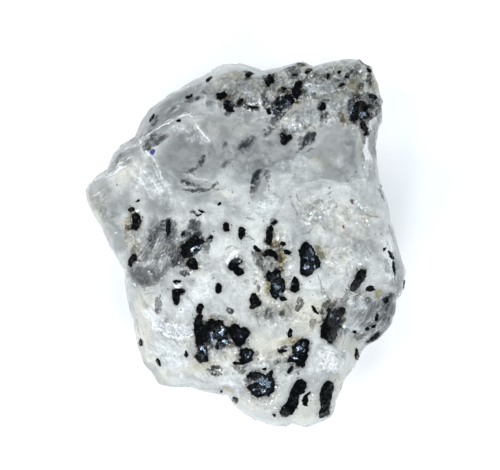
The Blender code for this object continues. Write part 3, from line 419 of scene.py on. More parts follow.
def smooth_down(shape, times):
    """Smooths a skin a number of times."""
    for _ in range(times):
        bmesh.ops.smooth_vert(shape, verts=shape.verts, factor=0.5,
                              use_axis_x=True, use_axis_y=True, use_axis_z=True)


def places_of(corners):
    """The places of a mesh's corners, in millimetres."""
    return np.array([corner.co for corner in corners]) / MM


def held(values):
    """Numbers held between 0 and 1."""
    return np.clip(values, 0.0, 1.0)


def heading(turn):
    """How far east and how far north a turn in degrees points, seen from above."""
    return math.cos(math.radians(turn)), math.sin(math.radians(turn))


def oval_reach(places, x, y, half_long, half_wide, turn):
    """How far out each place lies from the middle of an oval seen from above: 1 on its rim."""
    along, across = heading(turn)
    east, north = places[:, 0] - x, places[:, 1] - y
    return np.hypot((east * along + north * across) / half_long, (north * along - east * across) / half_wide)


def patch_cover(places, patches):
    """How strongly soft-edged oval patches, seen from above, cover each place."""
    cover = np.zeros(len(places))
    for *oval, strength in patches:
        cover = np.maximum(cover, strength * held(1.0 - (oval_reach(places, *oval) - PATCH_CORE) / PATCH_FADE))
    return cover * cover * (3.0 - 2.0 * cover)


def from_line(places, line):
    """How far each place lies, seen from above, from a line through some points, and on which side of the way it
    runs: 1 on its right, -1 on its left."""
    nearest = np.full(len(places), np.inf)
    side = np.zeros(len(places))
    for (x, y), (next_x, next_y) in zip(line, line[1:]):
        run = np.array([next_x - x, next_y - y])
        from_start = places[:, :2] - (x, y)
        share = held(from_start @ run / (run @ run))
        away = np.linalg.norm(from_start - share[:, None] * run, axis=1)
        right = np.sign(from_start[:, 0] * run[1] - from_start[:, 1] * run[0])
        side = np.where(away < nearest, right, side)
        nearest = np.minimum(nearest, away)
    return nearest, side


def band_cover(places, bands):
    """How far inside the nearest of some bands each place lies: below 0 outside, up to its strength inside."""
    cover = np.full(len(places), -1.0)
    for line, half_width, strength in bands:
        within = np.clip(1.0 - from_line(places, line)[0] / half_width, -1.0, 1.0)
        cover = np.maximum(cover, np.where(within > 0.0, within * strength, within))
    return cover


def bell(away, width):
    """1 at no distance, falling smoothly towards 0 over about twice a width."""
    return np.exp(-((away / width) ** 2))


def noise_at(places, size, seed):
    """Smooth noise between about -1 and 1, with lumps of one size."""
    shift = Vector((seed * 17.3, seed * 5.9, seed * 11.1))
    return np.array([noise.noise(Vector(place) / size + shift) for place in places])


def splinter_at(places, size, seed):
    """Flat-sided chips between 0 and 1: the distance to the nearest of many scattered points."""
    shift = Vector((seed * 7.7, seed * 3.1, seed * 9.3))
    return np.array([noise.voronoi(Vector(place) / size + shift)[0][0] for place in places])


def fit_outline(shape):
    """Moves a shape's rim in or out until its outline, seen from above, is the stone's."""
    flat = places_of(shape.verts)[:, :2] - OUTLINE_MIDDLE
    turn = np.degrees(np.arctan2(flat[:, 1], flat[:, 0])) % 360.0
    away = np.hypot(flat[:, 0], flat[:, 1])
    reach = np.zeros(360)
    np.maximum.at(reach, np.floor(turn).astype(int) % 360, away)
    reach = np.mean([np.roll(reach, step) for step in range(-2, 3)], axis=0)
    reach = np.interp(turn, np.arange(360) + 0.5, reach, period=360.0)
    corners = np.array(OUTLINE) - OUTLINE_MIDDLE
    corner_turn = np.degrees(np.arctan2(corners[:, 1], corners[:, 0]))
    wanted = np.interp(turn, corner_turn, np.hypot(corners[:, 0], corners[:, 1]), period=360.0)
    stretch = 1.0 + (wanted / reach - 1.0) * held((away / reach - RIM_START) / (1.0 - RIM_START))
    for vertex, (x, y), scale in zip(shape.verts, flat, stretch):
        vertex.co.x = (OUTLINE_MIDDLE[0] + x * float(scale)) * MM
        vertex.co.y = (OUTLINE_MIDDLE[1] + y * float(scale)) * MM


grain_nodes = sorted(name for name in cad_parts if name.startswith("black_grain"))
quartz_shape = merged_copy("quartz")
close_pockets(quartz_shape, grain_nodes)
quartz_shape = skin_over(quartz_shape, "quartz_skin", SKIN_VOXEL)
smooth_down(quartz_shape, SKIN_SMOOTHING)
quartz_shape.normal_update()

# How clear, rough, stained, warm and smoky each place is, with the patches' edges wavering. What faces sideways
# is hidden from above, and a slow drift makes parts of it clear or rough.
DRIFT_SIZE = 5.0
WAVER_SIZE = 1.6
WAVER = 0.9
SHAKE = 0.3
LEAST_ROUGH = 0.07
places = places_of(quartz_shape.verts)
nowhere = np.zeros(len(places))
facing_up = held(np.array([vertex.normal.z for vertex in quartz_shape.verts]) * 3.0 + 0.2)
drift = noise_at(places, DRIFT_SIZE, 1)
waver = np.stack([noise_at(places, WAVER_SIZE, 2), noise_at(places, WAVER_SIZE, 3), nowhere], axis=1) * WAVER
shaken = places + waver * SHAKE
clear = patch_cover(places + waver, CLEAR_PATCHES) * facing_up + held(0.35 + 1.4 * drift) * (1.0 - facing_up)
rough = patch_cover(places + waver, ROUGH_PATCHES) * facing_up + held(0.5 - 1.4 * drift) * (1.0 - facing_up)
rough = np.clip(rough, LEAST_ROUGH, 1.0) * (1.0 - 0.6 * clear)
stain = patch_cover(places + waver * 0.4, STAIN_PATCHES) * facing_up
warm = patch_cover(places + waver, WARM_PATCHES) * facing_up
smoky = patch_cover(places + waver * 0.7, SMOKY_PATCHES) * facing_up

# The relief in millimetres: broad swells, splinters of two sizes, then crumbs, all lower where it is clear.
SWELL_SIZE = 3.4
SWELL_HEIGHT = 0.18
LARGE_SPLINTERS = 2.6
LARGE_HEIGHT = 0.75
SMALL_SPLINTERS = 1.3
SMALL_HEIGHT = 0.6
COARSE_CRUMBS = 0.85
COARSE_HEIGHT = 0.26
FINE_CRUMBS = 0.5
FINE_HEIGHT = 0.16
SMOKY_CRUMBS = 0.7
SMOKY_HEIGHT = 0.3
relief = SWELL_HEIGHT * noise_at(places, SWELL_SIZE, 4) * (1.0 - 0.6 * clear)
relief += (0.06 + 0.94 * rough) * LARGE_HEIGHT * (splinter_at(places + waver, LARGE_SPLINTERS, 8) ** 2 - 0.25)
relief += rough * SMALL_HEIGHT * (splinter_at(places + waver * 0.5, SMALL_SPLINTERS, 5) ** 2 - 0.2)
relief += ((0.005 + COARSE_HEIGHT * rough) * noise_at(places, COARSE_CRUMBS, 6)
           + FINE_HEIGHT * rough * noise_at(places, FINE_CRUMBS, 7))
relief += SMOKY_HEIGHT * rough * smoky * noise_at(places, SMOKY_CRUMBS, 10)
relief *= 0.45 + 0.55 * facing_up

# Ledges, white where their edges are splintered, then ripples.
FAR_OFF = 9.0
edge_break = held(0.85 + 1.6 * noise_at(places, 0.9, 9))
white, edge_off = nowhere, nowhere + FAR_OFF
for line, drop, fade, whiteness in LEDGES:
    away, side = from_line(shaken, line)
    off = away * side * np.sign(drop)
    relief -= abs(drop) * (0.5 + 0.5 * np.tanh(off / STEP_WIDTH)) * bell(away, fade) * facing_up
    relief += LIP_RISE * bell(away, LIP_WIDTH) * edge_break * facing_up
    white = np.maximum(white, whiteness * bell(away, WHITE_WIDTH) * edge_break * facing_up)
    edge_off = np.where(away < np.abs(edge_off), off, edge_off)
for x, y, spacing, reach, height in RIPPLES:
    away = np.hypot(shaken[:, 0] - x, shaken[:, 1] - y)
    ring = 1.0 - np.abs(np.sin(math.pi * away / spacing + 1.5 * drift))
    relief += height * ring ** 2 * held(1.2 - away / reach) * held(away / spacing) * facing_up
# How high each place stands. The material uses it to paint crests lighter and hollows darker, as painted light
# and shade.
crest_height = held(0.5 + relief / 0.7)

# Bands, fans, half-seen grains, hairlines and painted glint spots, which the material draws.
band = band_cover(shaken, SPLINTER_BANDS)
frosted = band_cover(places + waver * 0.5, FROST_BANDS) * facing_up
fan, fan_across, fan_along = nowhere, nowhere, nowhere
for x, y, patch in FANS:
    cover = patch_cover(shaken, [patch]) * facing_up
    east, north = places[:, 0] - x, places[:, 1] - y
    distance = math.hypot(patch[0] - x, patch[1] - y)
    fan_across = np.where(cover > fan, np.arctan2(north, east) * distance, fan_across)
    fan_along = np.where(cover > fan, np.hypot(east, north), fan_along)
    fan = np.maximum(fan, cover)
half_seen, half_dark, half_brown = nowhere - 1.0, nowhere, nowhere
for x, y, half_long, half_wide, turn, dark, brown in HALF_SEEN:
    wide = half_wide + SEEN_GROWTH
    inward = (1.0 - oval_reach(places, x, y, half_long + SEEN_GROWTH, wide, turn)) * wide
    half_dark = np.where(inward > half_seen, dark, half_dark)
    half_brown = np.where(inward > half_seen, brown, half_brown)
    half_seen = np.maximum(half_seen, inward)
hair_off, hair = nowhere + FAR_OFF, nowhere
for line in HAIRLINES:
    away, side = from_line(shaken, line)
    hair_off = np.where(away < np.abs(hair_off), away * side, hair_off)
    hair = np.maximum(hair, np.exp(-((away / HAIR_REACH) ** 4)) * facing_up)
glint_spot = nowhere - 1.0
for x, y, radius in GLINT_SPOTS:
    glint_spot = np.maximum(glint_spot, radius - np.hypot(places[:, 0] - x, places[:, 1] - y))

# The break that the stone rests on stays as the solid has it.
REST_HEIGHT = 1.5
resting = held(places[:, 2] / REST_HEIGHT)
for vertex, rise in zip(quartz_shape.verts, relief * resting):
    vertex.co += vertex.normal * float(rise) * MM
fit_outline(quartz_shape)


class Amount:
    """A number or colour that varies over a piece: one output of a node in its material."""

    def __init__(self, socket):
        self.socket = socket

    def __add__(self, other):
        return sum_of("ADD", self, other)

    def __sub__(self, other):
        return sum_of("SUBTRACT", self, other)

    def __rsub__(self, other):
        return sum_of("SUBTRACT", other, self)

    def __mul__(self, other):
        return sum_of("MULTIPLY", self, other)

    def __abs__(self):
        return sum_of("ABSOLUTE", self, 0.0)

    def held(self):
        """The same sum, held between 0 and 1."""
        self.socket.node.use_clamp = True
        return self


def material_with_nodes(name):
    """A new material, its node tree, and its Principled shader. The functions below add nodes to the tree that
    is called tree at the time."""
    made = bpy.data.materials.new(name)
    made.use_nodes = True
    return made, made.node_tree, made.node_tree.nodes["Principled BSDF"]


def set_inputs(node, inputs):
    """Sets some inputs of a node, each to a plain value or to an amount."""
    for key, value in dict(inputs).items():
        if isinstance(value, Amount):
            tree.links.new(value.socket, node.inputs[key])
        else:
            node.inputs[key].default_value = value


def add_node(kind, inputs=(), output=0, **settings):
    """One output of a new shader node with some settings and some inputs."""
    node = tree.nodes.new("ShaderNode" + kind)
    for key, value in settings.items():
        setattr(node, key, value)
    set_inputs(node, inputs)
    return Amount(node.outputs[output])


def sum_of(operation, first, second):
    """The outcome of one sum on two numbers."""
    return add_node("Math", ((0, first), (1, second)), operation=operation)


def largest(first, *others):
    """The largest of some numbers."""
    for other in others:
        first = sum_of("MAXIMUM", first, other)
    return first


def between(value, low, high, to_low=0.0, to_high=1.0):
    """A number spread from one range over another."""
    return add_node("MapRange", (("Value", value), ("From Min", low), ("From Max", high),
                                 ("To Min", to_low), ("To Max", to_high)))


def blend(share, first, second):
    """A mix of two colours, with a share of the second."""
    return add_node("Mix", ((0, share), (6, first), (7, second)), 2, data_type="RGBA")


def cloudy(place, size_mm, detail=3.0, roughness=0.6, swirl=0.0, output="Fac"):
    """Fine noise with lumps of a size in millimetres."""
    return add_node("TexNoise", (("Vector", place), ("Scale", 1.0 / (size_mm * MM)), ("Detail", detail),
                                 ("Roughness", roughness), ("Distortion", swirl)), output)


def cells(place, size_mm, output="Color", **settings):
    """A loose net of cells of a size in millimetres: a colour of its own for each cell, or another output."""
    return add_node("TexVoronoi", (("Vector", place), ("Scale", 1.0 / (size_mm * MM))), output, **settings)


def cell_chance(place, size_mm):
    """A number of its own, between 0 and 1, for each cell of a net."""
    return add_node("SeparateColor", ((0, cells(place, size_mm)),))


def dots(place, spacing_mm, radius, chance):
    """Small round dots in a share of the cells of a net."""
    disc = between(cells(place, spacing_mm, "Distance"), radius, radius * 0.6)
    return disc * between(cell_chance(place, spacing_mm), 1.0 - chance, 1.0 - chance + 0.03)


def facet_normal(place, size_mm, tilt, start=None):
    """The surface's direction, broken into flat facets that each lean their own way by up to a tilt."""
    if start is None:
        start = add_node("NewGeometry", output="Normal")
    lean = add_node("VectorMath", ((0, cells(place, size_mm)), (1, (0.5, 0.5, 0.5))), operation="SUBTRACT")
    lean = add_node("VectorMath", ((0, lean), (3, tilt)), operation="SCALE")
    leant = add_node("VectorMath", ((0, start), (1, lean)), operation="ADD")
    return add_node("VectorMath", ((0, leant),), operation="NORMALIZE")


MILK_DARK = (0.35, 0.365, 0.365, 1.0)
MILK_LIGHT = (0.575, 0.595, 0.59, 1.0)
CREAM = (0.54, 0.525, 0.45, 1.0)
CLEAR_GREY = (0.34, 0.36, 0.36, 1.0)
MOSS = (0.29, 0.31, 0.24, 1.0)
# A grey for painted shade in gaps and creases, also used for the dark fan streaks.
GAP_SHADE_GREY = (0.15, 0.16, 0.16, 1.0)
SMOKE_GREY = (0.02, 0.024, 0.028, 1.0)
SOOT = (0.006, 0.007, 0.008, 1.0)
RAG_DARK = (0.045, 0.047, 0.036, 1.0)
RAG_LIGHT = (0.62, 0.67, 0.73, 1.0)
GRIT_GREY = (0.17, 0.18, 0.18, 1.0)
GRIT_WHITE = (0.80, 0.85, 0.90, 1.0)
ICE = (0.70, 0.755, 0.815, 1.0)
SOOT_BLUE = (0.008, 0.010, 0.015, 1.0)
DARK_BROWN = (0.035, 0.028, 0.013, 1.0)
OLIVE = (0.25, 0.22, 0.08, 1.0)
FRACTURE_AND_GLINT_WHITE = (0.95, 0.97, 0.99, 1.0)
INSIDE_TINT = (0.80, 0.84, 0.85, 1.0)
INSIDE_DENSITY = 60.0
QUARTZ_INDEX = 1.544
GRAIN_TURN = math.radians(-60.0)
GRAIN_STREAKS = (700.0, 5500.0, 3000.0)
LARGE_SHARDS = 1.1
SMALL_SHARDS = 0.55

quartz_material, tree, shader = material_with_nodes("milky_quartz")
position = add_node("TexCoord", output="Object")
(clear_share, rough_share, stain_share, white_share, smoky_share, painted_crest_light, edge_share, band_share, fan_share,
 across, along, halo_and_shade_share, half_share, half_dark_share, brown_share, hair_place, hair_share, glint_spot_share,
 warm_share, frosted_share) = (
    add_node("Attribute", attribute_name=name, output="Fac")
    for name in ("clear", "rough", "stain", "white", "smoky", "crest", "edge_off", "band", "fan", "fan_across",
                 "fan_along", "halo_and_shade", "half_seen", "half_dark", "half_brown", "hair_off", "hair", "glint_spot", "warm",
                 "frosted")
)

# The patterns that the layers share.
cloud = cloudy(position, 3.2, 5.0)
frost = cloudy(position, 0.8, 3.0, 0.55)
crush = cloudy(position, 0.42)
speck = cloudy(position, 0.3, 2.0)
grit = cloudy(position, 0.2, 2.0, 0.7)
unclear = between(clear_share, 0.2, 0.9, 1.0, 0.45)
shake = cloudy(position, 1.0, 0.0, 0.5, output="Color")
shake = add_node("VectorMath", ((0, shake), (3, 0.9 * MM)), operation="SCALE")
bent = add_node("VectorMath", ((0, position), (1, shake)), operation="ADD")
shade = cell_chance(bent, LARGE_SHARDS) * 0.6 + cell_chance(bent, SMALL_SHARDS) * 0.4
streak_place = add_node("CombineXYZ", ((0, across * 3.2), (1, along * 0.5)))
streaks = add_node("TexNoise", (("Vector", streak_place), ("Scale", 1.0), ("Detail", 3.0), ("Roughness", 0.7)))

# The stone itself: milk, cream, and grey where it is clear. The milk keeps its own cloudy tone, and is also
# painted lighter on crests and darker in hollows, as painted light and shade.
milkiness = cloud * 0.55 + painted_crest_light * 0.25 + frost * 0.2
colour = blend(between(milkiness, 0.36, 0.6), MILK_DARK, MILK_LIGHT)
colour = blend((rough_share * between(cloud, 0.4, 0.58, 0.25, 0.9)).held(), colour, CREAM)
wisp = between(cloudy(position, 2.4, 6.0), 0.4, 0.62)
clear_amount = clear_share * between(wisp, 0.0, 1.0, 0.95, 0.7)
colour = blend(clear_amount, colour, CLEAR_GREY)
# Painted shade: the gaps between splinters are darkened to grey.
colour = blend((rough_share * between(frost, 0.46, 0.34, 0.0, 0.55)).held(), colour, GAP_SHADE_GREY)
colour = blend(warm_share * between(frost, 0.35, 0.6, 0.5, 1.0), colour, CREAM)

# Crushed rock: moss-coloured lumps, dark and light rags, and shards that each have a shade of their own.
moss_share = (rough_share * (smoky_share + 0.05)).held()
moss_share = (moss_share * between(cloudy(bent, 2.0, 2.0, 0.5, 0.6), 0.44, 0.54, 0.0, 1.2)).held()
colour = blend(moss_share, colour, MOSS)
rag = cloudy(position, 1.1, 3.0, 0.52, 1.2)
crunch = rough_share * between(smoky_share, 0.1, 0.5, 0.3, 1.0)
crunch_dark = rough_share * between(smoky_share, 0.1, 0.5, 0.05, 1.0)
colour = blend(crunch_dark * between(rag, 0.47, 0.4, 0.0, 0.85), colour, RAG_DARK)
colour = blend(crunch * between(rag, 0.56, 0.62, 0.0, 0.6), colour, RAG_LIGHT)
colour = blend((crunch * between(shade, 0.4, 0.22, 0.0, 0.75)).held(), colour, RAG_DARK)
colour = blend((rough_share * between(shade, 0.6, 0.78, 0.0, 0.6)).held(), colour, RAG_LIGHT)

# Painted shade along fine creases, then frost, grit and iron stain.
fold = cloudy(position, 1.5, 4.0, 0.6, 1.6) - 0.5
crease_room = (rough_share * 0.9 + clear_share * 0.15).held()
crease_room = (crease_room - fan_share).held()
crease_shade = between(abs(fold + 0.035), 0.022, 0.004) * crease_room
colour = blend(crease_shade * 0.5, colour, GAP_SHADE_GREY)
ice = between(frosted_share + between(frost, 0.3, 0.7, -0.4, 0.3), 0.0, 0.9, 0.0, 0.7)
colour = blend(ice, colour, ICE)
colour = blend(unclear * between(grit, 0.5, 0.32, 0.0, 0.2), colour, GRIT_GREY)
colour = blend(unclear * between(grit, 0.56, 0.7, 0.0, 0.25), colour, GRIT_WHITE)
colour = blend((stain_share * between(crush, 0.3, 0.5, 0.2, 1.0)).held(), colour, OLIVE)

# Smoke under the skin, and a dark brown halo round the crystals: partly dark mineral just under the skin, partly
# painted shade where the quartz meets each crystal.
smoke_cloud = cloudy(position, 1.2, 3.0, 0.52, 0.8)
smoke_amount = (smoky_share * between(smoke_cloud, 0.36, 0.6, 0.5, 1.1)).held()
colour = blend(smoke_amount, colour, SMOKE_GREY)
halo_and_shade_smudge = (halo_and_shade_share * between(frost, 0.38, 0.6, 0.1, 0.95)).held()
halo_and_shade_smudge = (halo_and_shade_smudge * between(rough_share, 0.0, 0.6, 0.5, 1.2)).held()
colour = blend(halo_and_shade_smudge, colour, DARK_BROWN)

# Half-seen grains, finely streaked, then hairlines and black crumbs.
turned = add_node("Mapping", (("Vector", position), ("Rotation", (0.0, 0.0, GRAIN_TURN))))
grain_place = add_node("VectorMath", ((0, turned), (1, GRAIN_STREAKS)), operation="MULTIPLY")
grain_streaks = add_node("TexNoise", (("Vector", grain_place), ("Scale", 1.0), ("Detail", 2.0),
                                      ("Distortion", 0.4)))
half_edge = half_share + between(cloudy(position, 0.7, 1.5), 0.3, 0.7, -0.16, 0.16)
half_soft = between(clear_share, 0.2, 0.8, 0.03, 0.32)
half_amount = between(half_edge, -0.12, half_soft) * half_dark_share
half_amount = (half_amount * between(grain_streaks, 0.38, 0.54, 0.55, 1.15)).held()
half_amount = (half_amount * (2.0 - half_amount)).held()
colour = blend(half_amount, colour, blend(brown_share, SOOT_BLUE, DARK_BROWN))
hair_line = between(abs(hair_place + between(crush, 0.3, 0.7, -0.1, 0.1)), 0.12, 0.05)
colour = blend(hair_line * (hair_share * 0.5), colour, DARK_BROWN)
colour = blend(between(crush + halo_and_shade_share * 0.08, 0.68, 0.72), colour, SOOT)
colour = blend(dots(position, 0.8, 0.2, 0.16) * (unclear * 0.75), colour, DARK_BROWN)

# The streaks of the fans.
streak_white = (fan_share * between(streaks, 0.5, 0.7)).held()
colour = blend(streak_white * 0.45, colour, FRACTURE_AND_GLINT_WHITE)
streak_dark = (fan_share * between(streaks, 0.46, 0.34)).held()
colour = blend(streak_dark * 0.6, colour, GAP_SHADE_GREY)

# All that is white: splintered ledge edges and splinter bands, which are the stone's own white; painted glints,
# which are white sparkles, spots, glitter and frost sparkles; and painted highlights along creases and shard
# rims.
off = edge_share + between(crush, 0.3, 0.7, -0.12, 0.12)
first_line = between(abs(off), 0.14, 0.06)
second_line = between(abs(off - 0.34), 0.1, 0.04, 0.0, 0.7)
edge_lines = (largest(first_line, second_line) * white_share).held()
splinter_edge = between(frost, 0.3, 0.7, -0.5, 0.4) + between(crush, 0.3, 0.7, -0.4, 0.3)
splinters = between(band_share + splinter_edge, 0.05, 0.6)
splinters = splinters * largest(between(streaks, 0.4, 0.52, 0.35, 1.0), 1.0 - fan_share)
splinters = splinters * between(speck, 0.36, 0.54, 0.35, 1.0)
# Painted glints: white sparkles, spots and glitter that stand in for glints of light on the splintered surface.
painted_sparkles = (rough_share * between(speck, 0.66, 0.7)).held()
glint_spots = between(glint_spot_share + between(speck, 0.35, 0.65, -0.2, 0.1), -0.02, 0.04)
painted_glitter = dots(position, 0.5, 0.17, 0.3) * (unclear * 0.8)
ice_glints = ice * between(speck, 0.52, 0.62, 0.0, 0.9)
# Painted highlights: a light line along the crest of each fine crease, and along the rims of the shards.
crease_highlight = between(abs(fold), 0.011, 0.002, 0.0, 0.6) * between(cloud, 0.46, 0.56)
shard_rim = cells(bent, LARGE_SHARDS, "Distance", feature="DISTANCE_TO_EDGE")
shard_rim_highlight = between(shard_rim, 0.05, 0.015, 0.0, 0.5) * between(frost, 0.54, 0.62)
crease_and_rim_highlights = largest(crease_highlight, shard_rim_highlight) * crease_room
whitened = largest(edge_lines, splinters, painted_sparkles, glint_spots, painted_glitter, ice_glints, crease_and_rim_highlights)
whitened = (whitened - half_amount * 0.7).held()
colour = blend(whitened, colour, FRACTURE_AND_GLINT_WHITE)

see_through = clear_amount * 0.5 + between(milkiness, 0.36, 0.6, 0.22, 0.08)
see_through = (see_through - smoky_share * 0.5).held()
see_through = (see_through - half_amount).held()
see_through = (see_through - whitened).held()
gloss = between(rough_share + between(frost, 0.35, 0.65, -0.05, 0.05), 0.1, 0.5, 0.36, 0.07)
gloss = gloss * between(largest(half_amount, smoke_amount), 0.2, 0.8, 1.0, 0.55)
facets = facet_normal(bent, LARGE_SHARDS, rough_share * 0.65 + 0.03)
facets = facet_normal(bent, SMALL_SHARDS, rough_share * 0.55 + 0.02, facets)
bump_height = cloudy(position, 1.0, 0.0) + cloudy(position, 0.5, 0.0) * 0.5
bump_height = bump_height * (rough_share + 0.02) + streaks * fan_share * 0.5 + whitened * 0.3
bump = add_node("Bump", (("Height", bump_height), ("Distance", 0.45 * MM), ("Normal", facets)))
set_inputs(shader, (("Base Color", colour), ("Transmission Weight", see_through), ("Roughness", gloss),
                    ("Normal", bump), ("IOR", QUARTZ_INDEX), ("Specular IOR Level", 0.5),
                    ("Subsurface Weight", 0.15), ("Subsurface Radius", (1.0, 1.0, 1.0)),
                    ("Subsurface Scale", 0.6 * MM)))
smoke = add_node("VolumeAbsorption", (("Color", INSIDE_TINT), ("Density", INSIDE_DENSITY)))
set_inputs(tree.nodes["Material Output"], (("Volume", smoke),))


def finished(shape, name, material, nodes=()):
    """Puts a finished shape into the scene as a piece of the stone."""
    mesh = bpy.data.meshes.new(name)
    shape.to_mesh(mesh)
    shape.free()
    mesh.shade_smooth()
    mesh.materials.append(material)
    piece = bpy.data.objects.new(name, mesh)
    bpy.context.scene.collection.objects.link(piece)
    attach(piece, "root")
    if nodes:
        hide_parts(*nodes)
    return piece


def keep_values(piece, name, values):
    """Keeps a number for each corner of a piece's mesh, for its material to read."""
    layer = piece.data.attributes.new(name, "FLOAT", "POINT")
    layer.data.foreach_set("value", values.astype(np.float32))


quartz_shape.normal_update()
surface = BVHTree.FromBMesh(quartz_shape)
calm_shape = quartz_shape.copy()
smooth_down(calm_shape, CALM_SMOOTHING)
calm_surface = BVHTree.FromBMesh(calm_shape)

# The black crystals that the broken surface cuts through: short glossy grains and lobed clusters. Each is grown
# fast into the quartz, so it fills its pocket and its broken top lies level with the quartz round it.
BLACK = (0.002, 0.0024, 0.003, 1.0)
BLUE_SILVER = (0.27, 0.32, 0.41, 1.0)
GLASSY_BLACK = (0.034, 0.044, 0.05, 1.0)
GRAIN_VOXEL = 0.11 * MM
GRAIN_SMOOTHING = 2
GRAIN_TOP = 0.13
GRAIN_DEPTH = 0.8
POCKET_DEPTH = 0.5
POCKET_SLOPE = 0.3
LID_SLOPE = 0.8
LID_REACH = 0.5
OUTLINE_GROWTH = 0.1
SIDE_GRAIN_RISE = 0.05
SIDE_GRAIN_LID = 0.2
SIDE_GRAIN_TILT = 0.15
HALO_REACH = 0.5
NEAR = 1.5
HIGH_ABOVE = 100.0
NEAT = 0.06
RAGGED = 0.22
RAGGED_CRYSTALS = (3, 7, 12, 14, 16, 17, 20, 21, 23, 27, 30, 31, 33, 34, 35)
RAG_SIZE = 0.4
EDGE_STEP = 0.99
CRYSTAL_FACETS = 0.8
CRYSTAL_TILT = 0.14
BLACK_INDEX = 1.6
BLACK_SHEEN = 0.02

# Patches of the crystals that are broken to glassy silver-blue flakes, seen from above as above.
SILVER_PATCHES = [
    (-3.7, -11.3, 1.4, 0.8, 40, 1), (-5.5, -13.4, 0.7, 0.9, 0, 1), (1.9, -17.4, 1.4, 1.4, 0, 0.8),
    (7.9, -1.9, 0.9, 1.6, 0, 0.6), (13.1, 16.2, 0.45, 1.2, 0, 1), (14.5, 16, 0.7, 0.5, 0, 0.8),
    (4.2, 17, 0.6, 0.6, 0, 0.4), (9.8, -20.6, 0.5, 1.1, 0, 0.5), (6.8, -12.7, 0.7, 0.9, 0, 0.6),
    (-1.4, -2, 0.7, 0.4, 0, 0.8), (3.7, -4.6, 0.8, 1, 0, 0.5), (-0.9, -11.2, 0.8, 0.8, 0, 0.4),
    (-6.4, -0.6, 1, 0.9, 0, 0.6), (10.9, -8.9, 0.8, 1, 0, 0.55), (4.6, 17.4, 1.2, 0.8, 40, 0.6),
    (8, -2.9, 1, 0.9, 0, 0.55), (3.9, -6, 0.7, 1, 0, 0.45), (-3, -12.6, 1.6, 0.8, 30, 0.6),
    (6.2, -13.6, 0.8, 0.8, 0, 0.55), (9.5, -19.4, 0.6, 1.4, 80, 0.4), (0.2, -13.8, 0.7, 0.6, 0, 0.5),
    (16.2, -9.6, 1.6, 2.4, 0, 0.7),
]

